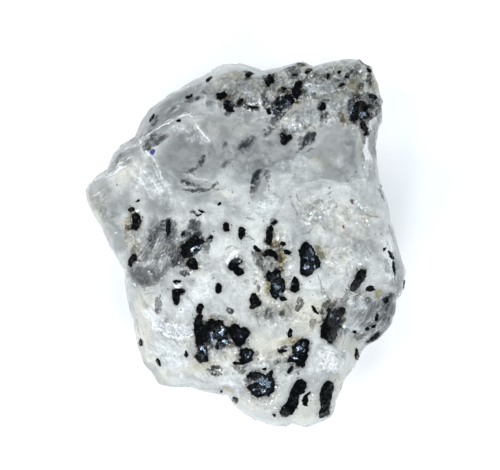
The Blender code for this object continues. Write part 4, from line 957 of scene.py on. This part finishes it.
# The outlines of each numbered crystal where the broken surface cuts it, seen from above in millimetres.
CRYSTALS = {
    1: [[(-14.1, 3.5), (-13.7, 3.8), (-13.3, 3.5), (-13.1, 2.8), (-13.3, 2.1), (-13.6, 1.7), (-14.2, 1.9),
         (-14, 2.6)], [(-14.6, 4.2), (-14.2, 4.5), (-13.85, 4.4), (-13.85, 4.15), (-14.3, 4)]],
    2: [[(-14.1, -1.3), (-13.6, -1.4), (-13.6, -2), (-14.1, -2.3), (-14.3, -2.9), (-14.6, -2.6),
         (-14.5, -2)]],
    3: [[(-7, 0.3), (-6.5, 0.9), (-5.8, 0.7), (-5.1, 0.2), (-5.6, -0.4), (-6.3, -1), (-6.9, -1.6),
         (-7.6, -1.7), (-8, -0.9), (-7.8, -0.2)]],
    4: [[(-7, -1.9), (-6.3, -1.8), (-6, -2.4), (-6, -3.1), (-6.5, -3.2), (-7, -2.9), (-7.3, -2.4)]],
    5: [[(-2.85, 2.25), (-2.5, 2.65), (-2.1, 2.4), (-2.1, 2.05), (-2.6, 2.15)], [(-2.8, 1.9), (-2.15, 1.95),
         (-2.1, 1.6), (-2.6, 1.6)]],
    6: [[(-0.8, 1.9), (-0.5, 2.05), (-0.1, 1.8), (-0.15, 1.3), (-0.4, 0.9), (-0.6, 0.5), (-0.8, 1)]],
    7: [[(-1.9, -2.3), (-1.3, -1.9), (-0.8, -1.9), (-0.6, -2.3), (-1, -2.6), (-1.2, -3), (-0.7, -3.1),
         (-0.4, -3.3), (-0.4, -3.8), (-0.9, -3.9), (-1.4, -3.6), (-1.9, -3.1), (-2.1, -2.8)]],
    8: [[(-3.6, -5), (-3.4, -4.9), (-3.1, -5.2), (-3.1, -5.9), (-3.4, -6.2), (-3.7, -5.9)]],
    9: [[(-9, -5.7), (-8.4, -5.7), (-7.8, -5.7), (-7.6, -6), (-8.2, -6.2), (-8.3, -7), (-8.5, -7.6),
         (-8.8, -7.5), (-9.1, -6.8)]],
    10: [[(-5.9, -7.6), (-5.5, -7.4), (-5.2, -7.8), (-5.5, -8.3), (-5.6, -8.8), (-6, -8.5), (-6, -8)]],
    11: [[(-5.9, -8.7), (-5.3, -8.9), (-5.6, -9.7), (-5.1, -10.3), (-5.2, -12), (-5.5, -12.9), (-6, -12.9),
          (-6.1, -12), (-6.3, -11.2), (-6.35, -10), (-6.15, -9.3)]],
    12: [[(-5, -10), (-4.6, -9.6), (-4.2, -9.3), (-3.9, -9.7), (-3.4, -9.4), (-2.9, -9.8), (-2.5, -10.3),
          (-2.1, -10.6), (-2.4, -11.3), (-3, -11.2), (-3.4, -11.8), (-4, -11.7), (-4.4, -12.4),
          (-4.9, -12.1), (-5.1, -11)]],
    13: [[(-3.5, -12.4), (-2.9, -11.6), (-2.3, -11.9), (-2.3, -12.5), (-3, -12.7), (-3.6, -13.1),
          (-3.8, -12.8)]],
    14: [[(-5.9, -12.9), (-5.2, -12.5), (-4.8, -13.3), (-4.8, -14.6), (-5.5, -14.6), (-6.3, -14),
          (-5.9, -13.5)]],
    15: [[(-1.8, -10.3), (-1.4, -10), (-0.9, -10.2), (-0.7, -10.5), (-0.3, -10.3), (0.1, -10.5), (0.4, -11),
          (0.2, -11.5), (-0.1, -11.9), (-0.1, -12.3), (-0.6, -12.6), (-1.1, -12.6), (-1.4, -12.2),
          (-1.8, -11.6), (-2, -11)]],
    16: [[(-0.6, -13.2), (0, -12.9), (0.5, -13.1), (0.9, -13.6), (0.6, -14.3), (0.1, -14.7), (-0.3, -14.9),
          (-0.8, -14.4), (-0.4, -14), (-0.8, -13.8)]],
    17: [[(0.2, -16.3), (0.6, -15.9), (1.3, -15.9), (1.9, -16.2), (2.5, -16.3), (3, -15.9), (3.2, -15.6),
          (3.1, -16.5), (3.4, -17.2), (3.5, -17.7), (3.2, -18.5), (2.8, -18.9), (2.3, -18.6), (1.7, -18.9),
          (1.2, -19), (0.7, -18.6), (0.5, -18.1), (0.2, -17.6), (0.7, -17.4), (1.5, -17.3), (1.2, -16.9),
          (0.8, -16.55), (0.1, -16.6)]],
    18: [[(6.3, -17), (6.9, -16.8), (7.4, -17.3), (7.5, -17.8), (7.1, -18.4), (6.5, -18.8), (6.4, -19.3),
          (6.5, -19.8), (6.2, -20.3), (5.7, -21.1), (5.1, -21.4), (4.5, -21.4), (4.2, -20.9), (4.5, -20.3),
          (5.2, -19.6), (5.5, -18.6), (5.8, -17.8)]],
    19: [[(9.7, -17.4), (10.2, -17.05), (10.7, -17.3), (10.9, -18), (10.6, -18.7), (10.4, -19.6),
          (10.2, -20.3), (10.3, -21.2), (9.8, -21.5), (9.2, -21.7), (9.1, -21.1), (9.4, -20.3), (9.2, -19.4),
          (9.2, -18.5)]],
    20: [[(7.5, -11.7), (7.65, -12.4), (7.6, -13.7), (7.3, -14.6), (7, -15.4), (6.4, -15.1), (6.1, -14.6),
          (5.2, -14.6), (5.3, -14.2), (6, -13.8), (5.8, -13.4), (5.7, -12.9), (6.3, -12.3), (6.9, -11.9)]],
    21: [[(9.3, -10.1), (9.3, -10.9), (9.35, -11.5), (9.9, -11.85), (10.4, -12.3), (10.65, -12.4),
          (11, -11.8), (11.25, -11.1), (11.4, -10.5), (11.8, -10.4), (11.85, -9.9), (11.6, -9.4),
          (11.85, -8.8), (12.2, -8.4), (12.15, -8.05), (11.7, -8.05), (11.4, -8.5), (11, -8.2), (10.6, -8.3),
          (10.5, -8), (10.15, -8.1), (10.2, -8.8), (9.8, -9.4)]],
    22: [[(0.5, -7), (0.8, -6.2), (1.2, -6.1), (1.3, -6.7), (1.8, -7.2), (1.8, -7.6), (1.3, -7.8),
          (0.8, -8.1), (0.4, -8), (0.7, -7.5)]],
    23: [[(2.7, -3.3), (3.1, -3.6), (3.6, -3.2), (4.2, -3.4), (4.3, -4.2), (4.8, -4.5), (4.7, -5.4),
          (4.4, -6.2), (3.8, -6.8), (3.3, -6.6), (3, -6), (3.2, -5.2), (2.9, -4.5), (2.6, -4)]],
    24: [[(2.1, -1.3), (2.4, -0.95), (2.9, -0.75), (3.5, -0.9), (3.75, -1.4), (4, -1.9), (3.8, -2),
          (3.4, -1.5), (2.8, -1.4), (2.3, -1.6)]],
    25: [[(2.8, 2), (3.1, 2.3), (3.35, 1.8), (3.1, 1.2), (3.2, 0.4), (2.9, -0.2), (2.5, 0.2), (2.55, 1)]],
    26: [[(6, -4.1), (6.4, -4.5), (6.6, -5.3), (6.4, -5.9), (6, -6), (5.4, -5.7), (5.7, -5.2), (5.7, -4.6)]],
    27: [[(7.2, 0.1), (7.7, 0.1), (7.6, -0.3), (8.1, -0.3), (8.4, -1.2), (9, -2.2), (9.1, -2.8), (8.5, -3.2),
          (8, -3.7), (7.3, -4.1), (6.7, -3.6), (6.9, -2.8), (6.7, -1.9), (6.6, -1), (6.9, -0.3)]],
    28: [[(13.85, -3.55), (14.4, -3.2), (14.85, -3.4), (14.8, -4), (14.35, -4.7), (13.9, -5.4),
          (13.45, -5.85), (13, -5.85), (12.9, -5.45), (13.15, -4.9), (13.45, -4.4)]],
    29: [[(4.6, 13.8), (4.8, 13.4), (5.2, 13.3), (5.5, 13.5), (5.75, 13.1), (5.3, 12.8), (4.9, 12.3),
          (4.5, 12.3), (4.3, 12.7), (4.5, 13.1), (4.2, 13.3)]],
    30: [[(3.85, 18), (4.3, 18.15), (4.75, 18.2), (5.1, 18.6), (5.5, 18.2), (5.9, 17.9), (5.8, 17.4),
          (5.4, 17.2), (4.9, 17.4), (4.6, 16.9), (4.3, 16.5), (3.8, 16.7), (3.75, 17.3)]],
    31: [[(5.75, 18.8), (6, 19.3), (6.2, 19.9), (6.55, 20.15), (6.9, 20.05), (6.8, 19.5), (6.65, 19.1),
          (6.8, 18.6), (6.5, 18.3), (6.3, 17.9), (6.1, 18.2), (5.95, 18.5)]],
    32: [[(2.4, 20.4), (3, 20.9), (3.4, 20.6), (3.4, 20.1), (3, 19.9), (2.8, 19.4), (2.5, 19.8)]],
    33: [[(-3.6, 18.3), (-3.1, 18.75), (-2.5, 18.7), (-2.3, 18.3), (-2.8, 18), (-3.4, 18)], [(-2.7, 17.3),
          (-2.2, 17.2), (-1.8, 16.9), (-1.5, 16.4), (-2.1, 16.5), (-2.7, 16.8)]],
    34: [[(12.9, 16.8), (13.3, 17.1), (13.7, 17.4), (14.1, 17.75), (14.6, 17.7), (14.9, 17.3), (15.6, 17.15),
          (15.2, 16.8), (14.7, 16.6), (15, 16.2), (15.4, 15.9), (15, 15.6), (14.5, 15.4), (14, 15.6),
          (13.6, 15.2), (13.1, 15.15), (12.95, 15.7), (13.1, 16.2)]],
    35: [[(14.2, 15), (14.7, 15.15), (14.9, 14.7), (15, 14.2), (14.95, 13.9), (14.7, 14), (14.45, 14.4)],
          [(14.7, 13.55), (15.2, 13.75), (15.25, 13.55), (14.8, 13.4)]],
}


def inside(places, outline):
    """Which places lie inside an outline, seen from above."""
    crossings = np.zeros(len(places), dtype=int)
    for (x, y), (next_x, next_y) in zip(outline, outline[1:] + outline[:1]):
        spans = (y > places[:, 1]) != (next_y > places[:, 1])
        crossings += spans & (places[:, 0] < x + (places[:, 1] - y) * (next_x - x) / (next_y - y or 1.0))
    return crossings % 2 == 1


# The quartz round the crystals: darkened in a halo that is partly dark mineral and partly painted shade, sunk
# under each crystal, and no higher than it close by.
halo_and_shade, lid = np.zeros(len(places)), np.full(len(places), FAR_OFF)
at_surface = places_of(quartz_shape.verts)
for outline in [outline for outlines in CRYSTALS.values() for outline in outlines]:
    low, high = np.min(outline, axis=0) - NEAR, np.max(outline, axis=0) + NEAR
    near = np.all((at_surface[:, :2] > low) & (at_surface[:, :2] < high) & (facing_up[:, None] > 0.0), axis=1)
    away, _ = from_line(at_surface[near], outline + outline[:1])
    halo_and_shade[near] = np.maximum(halo_and_shade[near], bell(away, HALO_REACH) * facing_up[near])
    sunk = -POCKET_DEPTH * held(away / POCKET_SLOPE)
    lid[near] = np.minimum(lid[near], np.where(inside(at_surface[near], outline), sunk, away * LID_SLOPE))
for vertex, calm, above in zip(quartz_shape.verts, calm_shape.verts, lid):
    if above < LID_REACH:
        vertex.co.z = min(vertex.co.z, calm.co.z + float(above) * MM)
quartz = finished(quartz_shape, "quartz_lump", quartz_material, ["quartz"])
for name, values in (("half_seen", half_seen), ("half_dark", half_dark * facing_up), ("half_brown", half_brown),
                     ("hair_off", hair_off), ("hair", hair), ("glint_spot", glint_spot), ("warm", warm),
                     ("frosted", frosted), ("clear", clear), ("rough", rough), ("stain", stain),
                     ("white", white), ("smoky", smoky), ("crest", crest_height), ("edge_off", edge_off),
                     ("band", band), ("fan", fan), ("fan_across", fan_across), ("fan_along", fan_along),
                     ("halo_and_shade", halo_and_shade)):
    keep_values(quartz, name, values)


def on_surface(skin, x, y):
    """The place on the quartz in millimetres at a point seen from above, drawn in to its edge if it lies off it,
    and the way that the quartz faces there."""
    while True:
        hit, facing, _, _ = skin.ray_cast(Vector((x, y, HIGH_ABOVE)) * MM, Vector((0.0, 0.0, -1.0)))
        if hit:
            return hit / MM, facing
        x, y = x * EDGE_STEP, y * EDGE_STEP


def lay_on_surface(shape, skin, raggedness=NEAT):
    """Bends a shape made round a flat table at height zero onto the broken surface, ragged at its edges."""
    at = places_of(shape.verts)
    ragged = raggedness * np.stack([noise_at(at, RAG_SIZE, 21), noise_at(at, RAG_SIZE, 22)], axis=1)
    for vertex, (x, y, height), (east, north) in zip(shape.verts, at, ragged):
        place, facing = on_surface(skin, x + east, y + north)
        away = facing if height > 0.0 else Vector((0.0, 0.0, 1.0))
        vertex.co = (place + away * float(height)) * MM


def grown(outline, by):
    """An outline that runs clockwise or anticlockwise, moved outwards all round."""
    ahead = outline[1:] + outline[:1]
    area = sum(x * next_y - next_x * y for (x, y), (next_x, next_y) in zip(outline, ahead))
    moved = []
    for (last_x, last_y), (x, y), (next_x, next_y) in zip(outline[-1:] + outline, outline, ahead):
        out = Vector((next_y - last_y, last_x - next_x)).normalized() * math.copysign(by, area)
        moved.append((x + out.x, y + out.y))
    return moved


def add_slab(shape, outline, top, depth):
    """Adds a flat slab with an outline seen from above."""
    corners = [shape.verts.new(Vector((x, y, top)) * MM) for x, y in grown(outline, OUTLINE_GROWTH)]
    face = shape.faces.new(corners)
    lower = bmesh.ops.extrude_face_region(shape, geom=[face])["geom"]
    sunk = [item for item in lower if isinstance(item, bmesh.types.BMVert)]
    bmesh.ops.translate(shape, verts=sunk, vec=(0.0, 0.0, -(top + depth) * MM))


def facet(shape, size, tilt, seed):
    """Breaks a skin up into small flat facets that each lean their own way."""
    shape.normal_update()
    shift = Vector((seed * 7.7, seed * 3.1, seed * 9.3))
    for vertex in shape.verts:
        place = vertex.co / (size * MM) + shift
        middle = noise.voronoi(place)[1][0]
        lean = noise.cell_vector(middle * 9.7) * tilt
        vertex.co += vertex.normal * (place - middle).dot(lean) * size * MM


black_material, tree, shader = material_with_nodes("black_mineral")
position = add_node("TexCoord", output="Object")
black_cloud = cloudy(position, 0.8)
silver_share = add_node("Attribute", attribute_name="silver", output="Fac")
silver = cell_chance(position, 0.55) + between(black_cloud, 0.3, 0.7, -0.3, 0.3)
silver = between(silver + silver_share * 0.75, 1.1, 1.2)
silver = silver * between(cloudy(position, 0.35, 2.0, 0.6, 2.0), 0.42, 0.55, 0.1, 1.0)
glassy = (between(cloudy(position, 0.6, 2.0, 0.6, 1.5), 0.47, 0.6) * silver_share).held()
black_colour = blend(silver, blend(glassy, BLACK, GLASSY_BLACK), BLUE_SILVER)
black_roughness = between(black_cloud, 0.3, 0.7, 0.04, 0.1) + silver * 0.2
black_facets = facet_normal(position, 0.3, 0.3, facet_normal(position, 0.8, 0.4))
black_bump = add_node("Bump", (("Height", cloudy(position, 0.5, 0.0)), ("Distance", 0.04 * MM),
                               ("Normal", black_facets)))
set_inputs(shader, (("Base Color", black_colour), ("Metallic", silver), ("Roughness", black_roughness),
                    ("Normal", black_bump), ("IOR", BLACK_INDEX), ("Specular IOR Level", BLACK_SHEEN)))

# The crystals on top are cut from their outlines; those in the side walls are their solids, cut off by the wall.
for number, node in enumerate(grain_nodes, 1):
    if number in CRYSTALS:
        crystal = bmesh.new()
        for outline in CRYSTALS[number]:
            add_slab(crystal, outline, GRAIN_TOP, GRAIN_DEPTH)
        bmesh.ops.recalc_face_normals(crystal, faces=crystal.faces)
        crystal = skin_over(crystal, node, GRAIN_VOXEL)
        smooth_down(crystal, GRAIN_SMOOTHING)
        lay_on_surface(crystal, calm_surface, RAGGED if number in RAGGED_CRYSTALS else NEAT)
    else:
        crystal = skin_over(merged_copy(node), node, GRAIN_VOXEL)
        for vertex in crystal.verts:
            place, direction, _, _ = surface.find_nearest(vertex.co)
            rise = SIDE_GRAIN_RISE if direction.z < SIDE_GRAIN_TILT else -SIDE_GRAIN_LID
            if (vertex.co - place).dot(direction) > rise * MM:
                vertex.co = place + direction * rise * MM
    facet(crystal, CRYSTAL_FACETS, CRYSTAL_TILT, number)
    name = node.replace("black_grain", "black_crystal")
    crystal = finished(crystal, name, black_material, [node])
    keep_values(crystal, "silver", patch_cover(places_of(crystal.data.vertices), SILVER_PATCHES))

# Specks: the smallest black grains in the broken surface, of the same mineral, a few tenths of a millimetre to a
# millimetre long. They are grown fast into the quartz. Place, length, width and turn.
SPECKS = [
    (-0.9, -3.5, 1.2, 0.8, -25), (3.5, 2.6, 0.9, 0.4, 20), (4.6, 0, 0.6, 0.5, 0), (5.1, -1.05, 1, 0.65, -20),
    (1.4, -0.7, 1.3, 0.45, -40), (4.6, -6.8, 1, 0.6, 0), (15.4, -5.6, 1, 0.7, 20), (18, -1.4, 1.3, 0.4, -60),
    (18.35, -3, 1.9, 0.3, -82), (-8.5, -4.7, 1.1, 0.35, 5), (-2.9, -12.1, 1.2, 1, 0),
    (-1, -14.8, 1.5, 0.3, -8), (2.3, -15.5, 0.6, 0.3, 30), (7.35, -19.5, 1.4, 0.8, 75),
    (5.4, -15.7, 1.2, 0.4, 60), (4.5, -13.3, 1.2, 0.4, 10), (5.45, -11.1, 1.1, 0.7, 80),
    (8.5, -8.2, 1.3, 0.4, -55), (13.8, -13.9, 1.6, 0.5, -82), (-13.1, -12.4, 1, 0.4, 90),
    (-10.85, -14.8, 0.95, 0.35, -65), (-7.4, -13.8, 0.9, 0.5, 80), (-1.35, -19.5, 0.8, 0.75, 90),
    (0.4, 21, 1, 0.5, 20), (-2, 16.5, 1, 0.3, 0), (1, 16.9, 1.3, 0.3, -10), (2.85, 16.4, 1, 0.4, -55),
    (15.8, 18.3, 1.4, 0.5, -12), (11.9, 19.7, 0.9, 0.35, 15), (12.5, 20.7, 0.5, 0.3, 0),
    (10.15, 20.7, 0.8, 0.35, 80), (7.8, 21.5, 1.1, 0.5, 20), (15.3, 21.6, 0.8, 0.35, -50),
    (-4.6, 20.5, 0.9, 0.4, 45), (-8.35, 15.2, 0.5, 0.3, 0), (-3.3, 4.9, 0.5, 0.3, 40),
    (-5.5, 4, 0.85, 0.22, -20), (-5.8, 3.5, 0.7, 0.16, 20), (-9.6, 1.9, 2.3, 0.5, 88),
    (-7.75, 1.2, 0.5, 0.35, 60), (-4.35, 0.75, 0.6, 0.35, 40), (9.55, 17, 1.2, 0.7, 80),
    (-0.65, 17.6, 0.9, 0.5, 30), (-2.3, 17.6, 0.6, 0.4, 0), (4.7, 19.2, 0.5, 0.3, 0),
    (-7.1, 18.25, 1.1, 0.3, 25), (-11.7, 15.6, 1.2, 0.25, 60), (16.3, -9.2, 1.1, 0.3, 82),
    (15.9, -10.3, 0.7, 0.3, 15), (15.95, -11.8, 1.9, 0.5, 42), (17.5, -7.2, 0.9, 0.4, 60),
    (17.2, -0.7, 0.5, 0.3, 60), (7.75, -18.6, 0.6, 0.3, 40), (-3.1, -18.5, 0.4, 0.3, 0),
    (3.5, -21.3, 0.4, 0.3, 0), (13.5, -11, 0.5, 0.3, 30), (15.1, -10.6, 0.6, 0.3, 10),
    (6, 20.9, 0.5, 0.3, 0), (11.6, 21.3, 0.5, 0.3, 40), (-13.4, 5.3, 0.5, 0.25, 20),
]
SPECK_GROWTH = 0.1
SPECK_TOP = 0.17
SPECK_DEPTH = 0.3
SPECK_VOXEL = 0.09 * MM
SPECK_FACETS = 0.4
SPECK_TILT = 0.25


def add_lobe(shape, x, y, length, width, turn, seed, top, depth):
    """Adds one flat-bottomed lobe, uneven all round."""
    east, north = heading(turn)
    for vertex in bmesh.ops.create_icosphere(shape, subdivisions=2, radius=1.0)["verts"]:
        ball = vertex.co.copy()
        uneven = 1.0 + 0.5 * noise.noise(ball * 1.3 + Vector((seed, 0.0, 0.0)))
        uneven += 0.5 * noise.noise(ball * 3.2 + Vector((0.0, seed, 0.0)))
        along_it, across_it = ball.x * length / 2.0 * uneven, ball.y * width / 2.0 * uneven
        plan_x, plan_y = x + along_it * east - across_it * north, y + along_it * north + across_it * east
        vertex.co = Vector((plan_x, plan_y, ball.z * (top if ball.z > 0.0 else depth))) * MM


def laid_lobes(name, rows, growth, seed, top, depth, voxel):
    """Lobes that lie on the quartz under one skin, each longer and wider than its row says by a growth."""
    lobes = bmesh.new()
    for number, (x, y, length, width, turn) in enumerate(rows, seed):
        add_lobe(lobes, x, y, length + growth, width + growth, turn, number, top, depth)
    lobes = skin_over(lobes, name, voxel)
    lay_on_surface(lobes, surface)
    return lobes


specks = laid_lobes("specks", SPECKS, SPECK_GROWTH, 200, SPECK_TOP, SPECK_DEPTH, SPECK_VOXEL)
facet(specks, SPECK_FACETS, SPECK_TILT, 90)
finished(specks, "black_specks", black_material)

# Specks in the side walls: the same small grains of black mineral, grown fast into the quartz, scattered evenly
# all round the stone, each turned to lie flat in the wall.
SIDE_SPECKS = 32
GOLDEN_TURN = math.radians(137.5)
SIDE_SPECK_RISE = 0.61
SIDE_LOWEST = 2.6
SIDE_REACH = 5.6
SIDE_SHORTEST = 0.5
SIDE_LONGER = 0.9
SIDE_WIDTH = 0.45
SIDE_TOP = 0.1
SIDE_DEPTH = 0.25
FAR_OUT = 60.0
side_specks = bmesh.new()
for number in range(SIDE_SPECKS):
    height = SIDE_LOWEST + SIDE_REACH * (number * SIDE_SPECK_RISE % 1.0)
    way = Vector((math.cos(number * GOLDEN_TURN), math.sin(number * GOLDEN_TURN), 0.0))
    place, facing, _, _ = surface.ray_cast((way * FAR_OUT + Vector((0.0, 0.0, height))) * MM, -way)
    length = SIDE_SHORTEST + SIDE_LONGER * (number * GOLDEN_TURN % 1.0)
    before = len(side_specks.verts)
    add_lobe(side_specks, 0, 0, length, SIDE_WIDTH * length, number * 50, 500 + number, SIDE_TOP, SIDE_DEPTH)
    side_specks.verts.ensure_lookup_table()
    turned = Matrix.Translation(place) @ facing.to_track_quat("Z", "Y").to_matrix().to_4x4()
    bmesh.ops.transform(side_specks, matrix=turned, verts=side_specks.verts[before:])
finished(side_specks, "side_specks", black_material)

# Coloured specks: a blue fleck in the edge of the left-hand break, and a few red-brown specks of iron rust, all
# grown into the quartz like the black ones. Each has its colour, then place, length, width and turn.
COLOURED_SPECKS = {
    "blue_fleck": ((0.035, 0.04, 0.26, 1.0), [
        (-11.6, 11.35, 0.75, 0.6, 60)]),
    "rust_specks": ((0.16, 0.05, 0.025, 1.0), [
        (12.05, 2.1, 0.6, 0.24, -60), (13.1, 5.2, 0.4, 0.26, -40), (1.9, -1, 0.7, 0.24, -35),
        (-2.1, 18.25, 0.5, 0.22, 70)]),
}
COLOURED_TOP = 0.1
COLOURED_DEPTH = 0.2
COLOURED_VOXEL = 0.06 * MM
for name, (speck_colour, rows) in COLOURED_SPECKS.items():
    speck_material, tree, shader = material_with_nodes(name)
    position = add_node("TexCoord", output="Object")
    darker = tuple(part * 0.4 for part in speck_colour[:3]) + (1.0,)
    mottle = between(cloudy(position, 0.3, 2.0), 0.35, 0.65)
    set_inputs(shader, (("Base Color", blend(mottle, darker, speck_colour)), ("Roughness", 0.35)))
    coloured = laid_lobes(name, rows, 0.0, 400, COLOURED_TOP, COLOURED_DEPTH, COLOURED_VOXEL)
    finished(coloured, name, speck_material)

# Deep grains: black crystals wholly inside the quartz, where they grew, seen blurred and greyed through its
# clear parts. Place, length, width, turn, and twice how far its top lies below the surface.
DEEP_GRAINS = [
    (-9.5, 1.4, 3, 0.85, 92, 0.6), (-11.6, 0.5, 1.6, 0.8, 60, 0.9), (-10.3, 2.4, 0.8, 0.6, 0, 0.7),
    (-9.2, -1, 1.5, 0.6, 65, 0.7), (-6.4, 2, 1.4, 1.1, 30, 0.9), (-4.6, 0.3, 1.9, 0.7, 65, 0.6),
    (2.9, -8.5, 1.6, 1, 30, 0.6), (4.4, -8.4, 1.4, 0.5, 70, 0.5), (6.5, -7.7, 1.8, 0.6, 80, 0.6),
    (8.2, -10.2, 1.6, 0.4, 90, 0.6), (-3.8, -16.2, 1.2, 0.6, 0, 0.4), (-3.7, -15.5, 0.9, 0.3, 0, 0.4),
    (-0.6, -15.6, 1.5, 0.8, 0, 0.5), (-11.1, -8.2, 1.6, 0.7, 60, 0.9), (-2.1, -8.3, 0.9, 0.5, 0, 0.5),
    (-0.6, 17.6, 1, 0.7, 0, 0.5), (9.6, 17, 1.3, 0.6, 80, 0.4), (9.5, 15.7, 0.9, 0.5, 60, 0.6),
    (-7.2, 18.1, 1.7, 0.5, 20, 0.5), (-8.1, 18, 0.9, 0.5, 60, 0.6), (-9.3, 16.9, 1.1, 0.5, 25, 0.6),
    (-11.7, 15.6, 1.7, 0.6, 58, 0.7), (-12.5, 12.7, 1.2, 0.9, 30, 1), (-11.3, 12.8, 0.9, 0.6, 0, 1),
    (-5, 11.05, 1.1, 0.3, 25, 0.4), (-5.45, 10.25, 1.6, 0.4, 25, 0.4), (-5.9, 9.45, 1.1, 0.3, 25, 0.4),
    (-7, 8.95, 1.3, 0.32, 20, 0.7), (0.1, 12.3, 2.3, 1.1, 35, 1.2), (-2.7, 12.2, 1.2, 0.5, 80, 1.2),
    (-2.4, 10.1, 1.2, 0.8, 30, 1.6), (3, 14, 1.8, 0.8, 55, 0.9), (7.7, 13, 2.3, 1, 45, 0.7),
    (1.2, 8, 3.4, 0.9, 70, 0.7), (-6, 20.2, 0.8, 0.4, 0, 0.4), (3.4, 8.3, 1.8, 0.5, 80, 1.2),
    (16.6, -9.6, 1.6, 0.9, 40, 0.7), (15, -8.6, 1.4, 0.8, 10, 0.9),
]
DEEP_ROUNDNESS = 0.45
DEEP_VOXEL = 0.12 * MM
deep = bmesh.new()
for number, (x, y, length, width, turn, below) in enumerate(DEEP_GRAINS, 300):
    before, half_thick = len(deep.verts), DEEP_ROUNDNESS * width
    add_lobe(deep, x, y, length, width, turn, number, half_thick, half_thick)
    deep.verts.ensure_lookup_table()
    bmesh.ops.translate(deep, verts=deep.verts[before:], vec=(0.0, 0.0, -(0.5 * below + half_thick) * MM))
deep = skin_over(deep, "deep", DEEP_VOXEL)
lay_on_surface(deep, surface)
finished(deep, "deep_grains", black_material)

# The table is a sheet of white card. Square soft lights stand all round, brightest on the upper left, and the
# camera looks straight down.
FLOOR_SIZE = 1.2
CARD_WHITE = (0.93, 0.94, 0.96, 1.0)
bpy.ops.mesh.primitive_plane_add(size=FLOOR_SIZE)
table = bpy.context.object
table.name = "table"
table_material, tree, shader = material_with_nodes("white_card")
set_inputs(shader, (("Base Color", CARD_WHITE), ("Roughness", 0.8)))
table.data.materials.append(table_material)

# Each soft light: where it stands all round, how far down from straight above, and its power.
SOFTBOXES = [
    (165, 44, 0.42), (138, 58, 0.26), (192, 58, 0.28), (70, 40, 0.2), (45, 52, 0.2), (102, 48, 0.24),
    (8, 42, 0.26), (330, 54, 0.28), (300, 40, 0.32), (265, 50, 0.3), (225, 44, 0.3), (245, 58, 0.22),
]
SOFTBOX_DISTANCE = 0.4
SOFTBOX_SIZE = 0.07
LAMP_COLOUR = (1.0, 0.985, 0.965)
AIM = Vector((0.0, 0.0, 0.01))
for number, (turn, lean, power) in enumerate(SOFTBOXES, 1):
    lamp = bpy.data.lights.new(f"softbox_{number}", "AREA")
    lamp.size = SOFTBOX_SIZE
    lamp.energy = power
    lamp.color = LAMP_COLOUR
    up, out = heading(lean)
    east, north = heading(turn)
    softbox = bpy.data.objects.new(lamp.name, lamp)
    softbox.location = Vector((out * east, out * north, up)) * SOFTBOX_DISTANCE
    softbox.rotation_euler = (AIM - softbox.location).to_track_quat("-Z", "Y").to_euler()
    bpy.context.scene.collection.objects.link(softbox)
SKY = (0.62, 0.84, 1.0, 1.0)
SKY_STRENGTH = 0.34
world = bpy.data.worlds.new("studio")
world.use_nodes = True
world.node_tree.nodes["Background"].inputs["Color"].default_value = SKY
world.node_tree.nodes["Background"].inputs["Strength"].default_value = SKY_STRENGTH
bpy.context.scene.world = world
bpy.context.scene.view_settings.view_transform = "Standard"

VIEW_WIDTH = 62.5 * MM
VIEW_CENTRE = Vector((0.5, 1.06, 11.0)) * MM
LENS = 600.0
SENSOR = 36.0
eye = bpy.data.cameras.new("camera")
eye.lens = LENS
eye.sensor_width = SENSOR
eye.clip_start = 0.01
camera = bpy.data.objects.new("camera", eye)
camera.location = VIEW_CENTRE + Vector((0.0, 0.0, VIEW_WIDTH * LENS / SENSOR))
bpy.context.scene.collection.objects.link(camera)
bpy.context.scene.camera = camera
